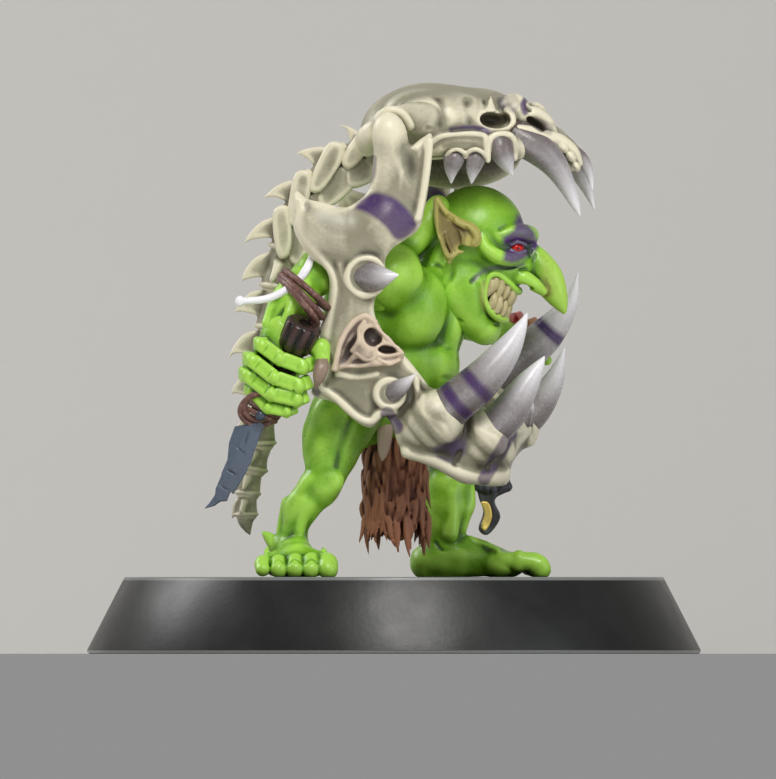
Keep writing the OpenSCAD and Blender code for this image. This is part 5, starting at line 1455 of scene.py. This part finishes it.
def jawPaint(points):
    patch = smoothRing([(-2.05, 19.3), (-1.2, 20), (-0.2, 19.86), (0.58, 19.3), (1.2, 18.4), (0.95, 17.9),
                        (0.15, 17.55), (-0.5, 18.3), (-1.4, 18.97)], 4)
    band = insideOutline(points, patch, 0.24)
    band = np.maximum(band, 0.75 * nearLine(points, [(-1.1, 21.8), (-1.2, 20.9), (-1.8, 20)], 0.22))
    band = np.maximum(band, 0.85 * insideOutline(points,
                                                 [(3.85, 7.5), (3.7, 6.4), (3, 5.9), (2.3, 6.2), (2, 6.7)],
                                                 0.3))
    for path, width in [([(-0.35, 8.5), (0.1, 7.8)], 0.38), ([(6.1, 7.5), (5.4, 6.3), (4.7, 5.1)], 0.34),
                        ([(-4.3, 10), (-4, 9.6)], 0.2)]:
        band = np.maximum(band, 0.85 * nearLine(points, path, width))
    return band


def leftJawPaint(points):
    return jawPaint(points - np.array([2.3, 0, 0.5]) * (points[:, :1] < 4))


def skullPaint(points):
    band = nearLine(points, [(6.9, 24.95), (6.72, 24.6), (6.85, 24.2)], 0.16)
    band = np.maximum(band, nearLine(points, [(3, 23.3), (4, 23.4), (4.9, 23.25)], 0.14))
    band = np.maximum(band, 0.45 * insideOutline(points,
                                                 [(5.4, 24.9), (6.3, 25.2), (6.7, 24.6), (6.2, 24.2),
                                                  (5.4, 24.4)]))
    return np.maximum(band, 0.5 * insideOutline(points, [(7.4, 24), (8.4, 23.6), (8.2, 23), (7.5, 23.2)]))


def palateShade(points):
    return np.clip((21.9 - points[:, 2]) / 0.3, 0, 1) * (points[:, 1] > -2.6) * 0.95


def cupClay():
    # Torn socket: a raised rim round a dished wedge, with two pits and their folded lips
    clay = Clay((-3.9, -8, 10), (1.4, -6, 14.4), 0.05)
    outline = smoothRing([(-3.2, 10.8), (-2.81, 12.5), (-2.29, 13.3), (-1.56, 13.72), (-0.83, 13.2),
                          (-0.42, 12.56), (0, 12.1), (0.5, 11.62), (0.2, 11.15), (-1, 10.95),
                          (-2.6, 10.85)], 4)

    def middle(x, z):
        return -6.85 - 0.12 * np.cos(1.2 * (x + 1.2)) + 0 * z, 1.0

    clay.plate(outline, middle, 0.7, edge=0.2)
    for centre, half, turn, soft in (((-2.35, -7.5, 11.75), (0.3, 0.5, 1.15), 27, 0.1),
                                     ((-2, -7.5, 11.15), (0.85, 0.42, 0.26), -10, 0.12),
                                     ((-1.1, -7.4, 12.5), (0.5, 0.6, 0.52), -35, 0.06),
                                     ((-0.36, -7.4, 11.86), (0.56, 0.55, 0.25), 8, 0.05)):
        clay.lump(centre, half, (0, turn, 0), soft=soft, cut=True)
    for spots, size in (([(-3.1, 10.85), (-2.78, 12.2), (-2.25, 13.15), (-1.56, 13.6), (-1, 13.3)], 0.16),
                        ([(-1.55, 13.3), (-1.82, 12.9), (-1.88, 12.3), (-2.2, 11.8)], 0.1),
                        ([(-1.95, 11.6), (-1.5, 11.3), (-1.05, 11.42), (-0.9, 11.95), (-0.4, 12.18),
                          (0.2, 11.95)], 0.09), ([(-0.95, 11.6), (-0.4, 11.5), (0.42, 11.66)], 0.09),
                        ([(-0.8, 11.35), (-0.25, 11.1), (0.3, 11.3)], 0.09),
                        ([(-0.98, 13.15), (-0.55, 12.65), (0, 12.1), (0.45, 11.65)], 0.1)):
        clay.limb([(px, -7.26, pz, size) for px, pz in spots], 0.05)
    return clay.roughen(0.02, 0.9, 41)


def socketPaintedShade(points):
    # Painted shade in the dished wedge and the two pits, in the band colour
    wedge = insideOutline(points, [(-3, 10.95), (-2.6, 12.3), (-2, 13.1), (-1.9, 12.2), (-1.5, 11.9),
                                   (-1.2, 11.3), (-1, 11.05)], 0.25) * 0.45
    pits = np.maximum(nearLine(points, [(-1.3, 12.65), (-0.9, 12.35)], 0.34, 0.2),
                      nearLine(points, [(-0.65, 11.8), (-0.05, 11.9)], 0.17, 0.15))
    return np.maximum(wedge, pits * (points[:, 1] > -7.25))


# Spine down the back

backLine = [(-1.25, 21.8), (-2.4, 21.5), (-3.9, 20.3), (-5, 18.7), (-5.6, 17), (-6, 15), (-6.3, 12.9),
            (-6.6, 10.8), (-6.8, 8.7), (-6.95, 6.9), (-7.35, 5.6), (-7.6, 4.3), (-7.7, 3.2)]
finTips = [(-2.83, 23.55), (-5.33, 21.9), (-7.03, 19.4), (-8, 16.9), (-8.1, 14.9), (-8.42, 13.55),
           (-8.6, 11.4), (-8.55, 9.4), (-8.3, 7.3), (-8.35, 5.7), (-8.4, 4.3), (-8.4, 3.05)]
spine = dict(count=12, width=2.5, steps=24)


def spineSpot(u):
    k = min(int(u), len(backLine) - 2)
    line = smoothLine([(a, 0, b, 0) for a, b in backLine], spine["steps"])
    spot = line[min(int(round(u * spine["steps"])), len(line) - 1)]
    a, b = np.array(backLine[k]), np.array(backLine[k + 1])
    return np.array([spot[0], 0, spot[2]]), (b - a)


def vertebraClay(number):
    # Barrel of bone with a hooked fin behind it; the upper ones carry bars on each side and the
    # lower ones flare into a cup
    spot, step = spineSpot(number - 0.5)
    size = spine["width"] * (1 - 0.5 * (number - 1) / 11)
    long = float(np.linalg.norm(step)) * 0.96
    down = np.array([step[0], 0, step[1]]) / np.linalg.norm(step)
    back = np.array([down[2], 0, -down[0]])
    tip = np.array([finTips[number - 1][0], 0, finTips[number - 1][1]])
    if back @ (tip - spot) < 0:
        back = -back
    reach = np.maximum(np.abs(tip - spot), 0.9 * size) + 0.6
    clay = Clay(spot - reach, spot + reach, 0.06 if number < 7 else 0.05)

    def at(d, b, s=0.0, *rest):
        return (*(spot + d * down + b * back + np.array([0, s, 0])), *rest)

    flare = 0.46 if number > 4 else 0.4
    clay.limb([at(-0.5 * long, 0, 0, size * 0.38), at(0, 0, 0, size * 0.4),
               at(0.36 * long, 0, 0, size * flare)], 0.12, steps=6)
    lip = [at(0.45 * long + 0.05 * size * math.cos(w), size * flare * math.cos(w), size * flare * math.sin(w),
              size * 0.06) for w in np.linspace(0, 2 * math.pi, 17)]
    clay.limb(lip, 0.08, steps=3)
    clay.lump(at(0.75 * long, 0, 0), size * 0.34, soft=0.05, cut=True)
    # The fin: arched above, hollowed below, its point swept out and down
    top = np.array(at(-0.5 * long, 0.24 * size))
    root = np.array(at(0.26 * long, 0.26 * size))
    upper, lower = tip - top, tip - root
    rise = np.array([-upper[2], 0, upper[0]])
    rise *= -1 if rise @ down > 0 else 1
    fin = [at(-0.1 * long, 0), top, top + 0.35 * upper + 0.17 * rise, top + 0.7 * upper + 0.15 * rise, tip,
           root + 0.72 * lower + 0.14 * rise, root + 0.35 * lower + 0.12 * rise, root, at(0.2 * long, 0)]
    outline = smoothLine([(p[0], p[2], 0, 0) for p in fin[1:5]], 4)[:, :2].tolist()
    outline += smoothLine([(p[0], p[2], 0, 0) for p in fin[4:8]], 4)[1:, :2].tolist()
    outline += [(p[0], p[2]) for p in (fin[8], fin[0])]
    clay.plate(outline, flatAt(0), size * 0.22, edge=0.08, soft=0.2)
    if number <= 4:
        bar = smoothRing([(-0.74, 0.3), (-0.5, 0.6), (0.15, 0.42), (0.8, 0.1), (0.6, -0.12), (-0.1, 0)], 3)
        low = smoothRing([(-0.66, -0.06), (-0.1, 0.04), (0.66, -0.1), (0.86, -0.46), (0.2, -0.54),
                          (-0.55, -0.42)], 3)
        for w in (1, -1):
            for shape, out in ((bar, 0.46), (low, 0.38)):
                corners = [at(d * long, b * size) for d, b in shape]
                tilted = w * out * size
                clay.plate([(p[0], p[2]) for p in corners], flatAt(tilted), size * 0.24,
                           edge=0.2, soft=0.12)
    else:
        for w in (1, -1):
            clay.limb([at(-0.1 * long, 0.1 * size, w * size * 0.32, size * 0.12),
                       at(0.3 * long, 0.2 * size, w * size * 0.5, size * 0.07)], 0.2)
    return clay.roughen(0.02, 1.2, 50 + number)


def skinnyBone():
    path = [(-8.1, -6.95, 14.36, 0.18), (-6.72, -6.8, 14.48, 0.2), (-5.75, -6.65, 14.88, 0.21),
            (-4.95, -6.4, 15.5, 0.22), (-4.5, -6.2, 16.15, 0.22), (-4.3, -5.8, 16.7, 0.16)]
    clay = Clay((-8.6, -7.6, 13.9), (-3.8, -5.4, 17.1), 0.05)
    clay.limb(path, 0.05)
    clay.lump((-8.06, -6.95, 14.29), 0.22, soft=0.08)
    clay.lump((-8.03, -6.95, 14.46), 0.2, soft=0.08)
    return clay


# Building every piece

print("stage 1: base and pins")
makeBase()
makePins()
print("stage 2: body")
bake("torso", torsoClay(), "skin", "torso")
bake("rightLeg", rightLegClay(), "skin", "right_leg")
bake("leftLeg", leftLegClay(), "skin", "left_leg")
bake("head", headClay(), "skin", "head", band=warPaintAndMouthShade, tintAndShade=oliveParts)
bake("rightEar", earClay(), "earSkin", "right_ear", band=earInside)
bake("leftEar", mirrorClay(earClay()), "earSkin", "left_ear", band=earInside)
makeEyes()
makeGrin()
print("stage 3: arms and dagger")
bake("rightArm", rightArmClay(), "skin", "right_arm")
bake("rightHand", rightHandClay(), "skin", "right_hand")
makeThumbClaw()
bake("leftArm", leftArmClay(), "skin", "left_arm")
bake("leftHand", leftHandClay(), "skin", "left_hand")
bake("trophy", trophyClay(), "meat", "trophy", band=lambda p: np.clip((p[:, 0] - 6.75) / 0.2 + 0.5, 0, 1))
makeGrip()
bake("daggerBlade", bladeClay(), "steel", "dagger_blade")
makeWraps()
makeRivet()
bake("forearmBone", skinnyBone(), "paleBone", "forearm_bone")
print("stage 4: fur and cloth")
bake("furLoincloth", furClay(), "fur", "fur_loincloth")
bake("hideStrip", hideClay(), "hide", "hide_strip")
bake("hangingCloth", ragClay(), "blackCloth", "hanging_cloth")
bake("clothTrim", trimClay(), "gold", "cloth_trim")
print("stage 5: skull")
bake("skull", skullClay(), "bone", "skull", band=skullPaint, tintAndShade=palateShade)
placeHorns("skullTeethRight", cheekTeeth, "horn", "skull_teeth_right", sides=28, ripple=0.03)
placeHorns("skullTeethLeft", [mirrorPath(p) for p in cheekTeeth], "horn", "skull_teeth_left", sides=28,
           ripple=0.03)
placeHorns("skullFangRight", [rightFang], "horn", "skull_fang_right", sides=40, ripple=0.02)
placeHorns("skullFangLeft", [leftFang], "horn", "skull_fang_left", sides=40, ripple=0.02)
placeHorns("skullFrontFangs", frontFangs, "horn", "skull_front_fangs")
print("stage 6: jaws")
bake("jawRight", jawClay(True), "bone", "jaw_right", band=jawPaint)
bake("jawLeft", jawClay(False), "bone", "jaw_left", band=leftJawPaint)
bake("boneCup", cupClay(), "tornBone", "bone_cup", band=socketPaintedShade)
shiftX, shiftZ = jaw["leftShift"]
farSpikes = [[(x + shiftX, -y, z + shiftZ, r) for x, y, z, r in p] for p in spikes]
placeHorns("jawSpikesRight", spikes, "horn", "jaw_spikes_right", sides=32, ripple=0.03)
placeHorns("jawSpikesLeft", farSpikes, "horn", "jaw_spikes_left", sides=32, ripple=0.03)
stripes = ((0.235, 0.3), (0.395, 0.46))
placeHorns("outerTuskRight", [outerTusk], "horn", "outer_tusk_right", sides=48, ripple=0.02, bands=stripes)
placeHorns("outerTuskLeft", [farOuterTusk], "horn", "outer_tusk_left", sides=48, ripple=0.02,
           bands=((0.6, 0.66),))
placeHorns("innerTuskRight", [innerTusk], "horn", "inner_tusk_right", sides=48, ripple=0.02)
placeHorns("innerTuskLeft", [farInnerTusk], "horn", "inner_tusk_left", sides=48, ripple=0.02)
frontTeeth = [[(x, y, z, 0.4), (x + 0.2, y, z + 0.8, 0.3), (x + 0.3, y, z + 1.5, 0.03)]
              for x, y, z in ((6.7, -0.9, 7.9), (6.85, 0.6, 7.9), (6.3, -2.4, 8))]
placeHorns("jawFrontTeeth", frontTeeth, "horn", "jaw_front_teeth")
print("stage 7: spine")
for number in range(1, spine["count"] + 1):
    bake(f"vertebra{number:02d}", vertebraClay(number), "bone", f"vertebra_{number:02d}",
         fine=0.12, broad=0.3, gain=3.5)
tail = [(-7.7, 0, 3.3, 0.5), (-7.72, 0, 2.9, 0.42), (-7.62, 0, 2.5, 0.22), (-7.5, 0, 2.2, 0.03)]
placeHorns("tailTip", [tail], "plainBone", "tail_tip")


# Floor, light and camera

def flatMaterial(name, colour, rough=0.8):
    material = bpy.data.materials.new(name)
    material.use_nodes = True
    shader = material.node_tree.nodes["Principled BSDF"]
    shader.inputs["Base Color"].default_value = (*colour, 1)
    shader.inputs["Roughness"].default_value = rough
    return material


paper = dict(tone=tone(226, 224, 220), front=-0.4, back=0.12, bend=0.08, top=0.5, half=0.6)
studio = dict(keyPower=0.3, fillPower=0.08, rimPower=0.12, worldLight=0.28)


def makeStage():
    # One sheet: a floor that curves up into a wall behind
    back, bend = paper["back"], paper["bend"]
    profile = [(paper["front"], 0), (back, 0)]
    profile += [(back + bend * math.sin(w), bend - bend * math.cos(w))
                for w in np.linspace(0.1, math.pi / 2, 12)]
    profile += [(back + bend, paper["top"])]
    points = [(x, y, z) for y, z in profile for x in (-paper["half"], paper["half"])]
    faces = [(2 * i, 2 * i + 1, 2 * i + 3, 2 * i + 2) for i in range(len(profile) - 1)]
    mesh = bpy.data.meshes.new("backdrop")
    mesh.from_pydata(points, [], faces)
    mesh.shade_smooth()
    mesh.materials.append(flatMaterial("palePaper", paper["tone"]))
    sheet = bpy.data.objects.new("backdrop", mesh)
    bpy.context.scene.collection.objects.link(sheet)


def addLight(name, spot, target, size, power, colour):
    light = bpy.data.lights.new(name, "AREA")
    light.size = size
    light.energy = power
    light.color = colour
    lamp = bpy.data.objects.new(name, light)
    lamp.location = spot
    way = mathutils.Vector(target) - mathutils.Vector(spot)
    lamp.rotation_euler = way.to_track_quat("-Z", "Y").to_euler()
    bpy.context.scene.collection.objects.link(lamp)


view = dict(across=0.0406, nearest=0.01, spot=(-0.00031, -0.35, 0.01377))


def makeCamera():
    camera = bpy.data.cameras.new("camera")
    camera.type = "ORTHO"
    camera.ortho_scale = view["across"]
    camera.clip_start = view["nearest"]
    eye = bpy.data.objects.new("camera", camera)
    eye.location = view["spot"]
    eye.rotation_euler = (math.pi / 2, 0, 0)
    bpy.context.scene.collection.objects.link(eye)
    bpy.context.scene.camera = eye


makeStage()
middle = (0, 0, 0.014)
addLight("key", (0.02, -0.16, 0.17), middle, 0.09, studio["keyPower"], (1, 0.98, 0.95))
addLight("fill", (0.17, -0.12, 0.05), middle, 0.12, studio["fillPower"], (0.95, 0.97, 1))
addLight("rim", (-0.14, 0.06, 0.12), middle, 0.08, studio["rimPower"], (1, 1, 1))
world = bpy.data.worlds.new("studio")
world.use_nodes = True
world.node_tree.nodes["Background"].inputs[0].default_value = (1, 1, 1, 1)
world.node_tree.nodes["Background"].inputs[1].default_value = studio["worldLight"]
bpy.context.scene.world = world
makeCamera()
bpy.context.scene.view_settings.view_transform = "Standard"
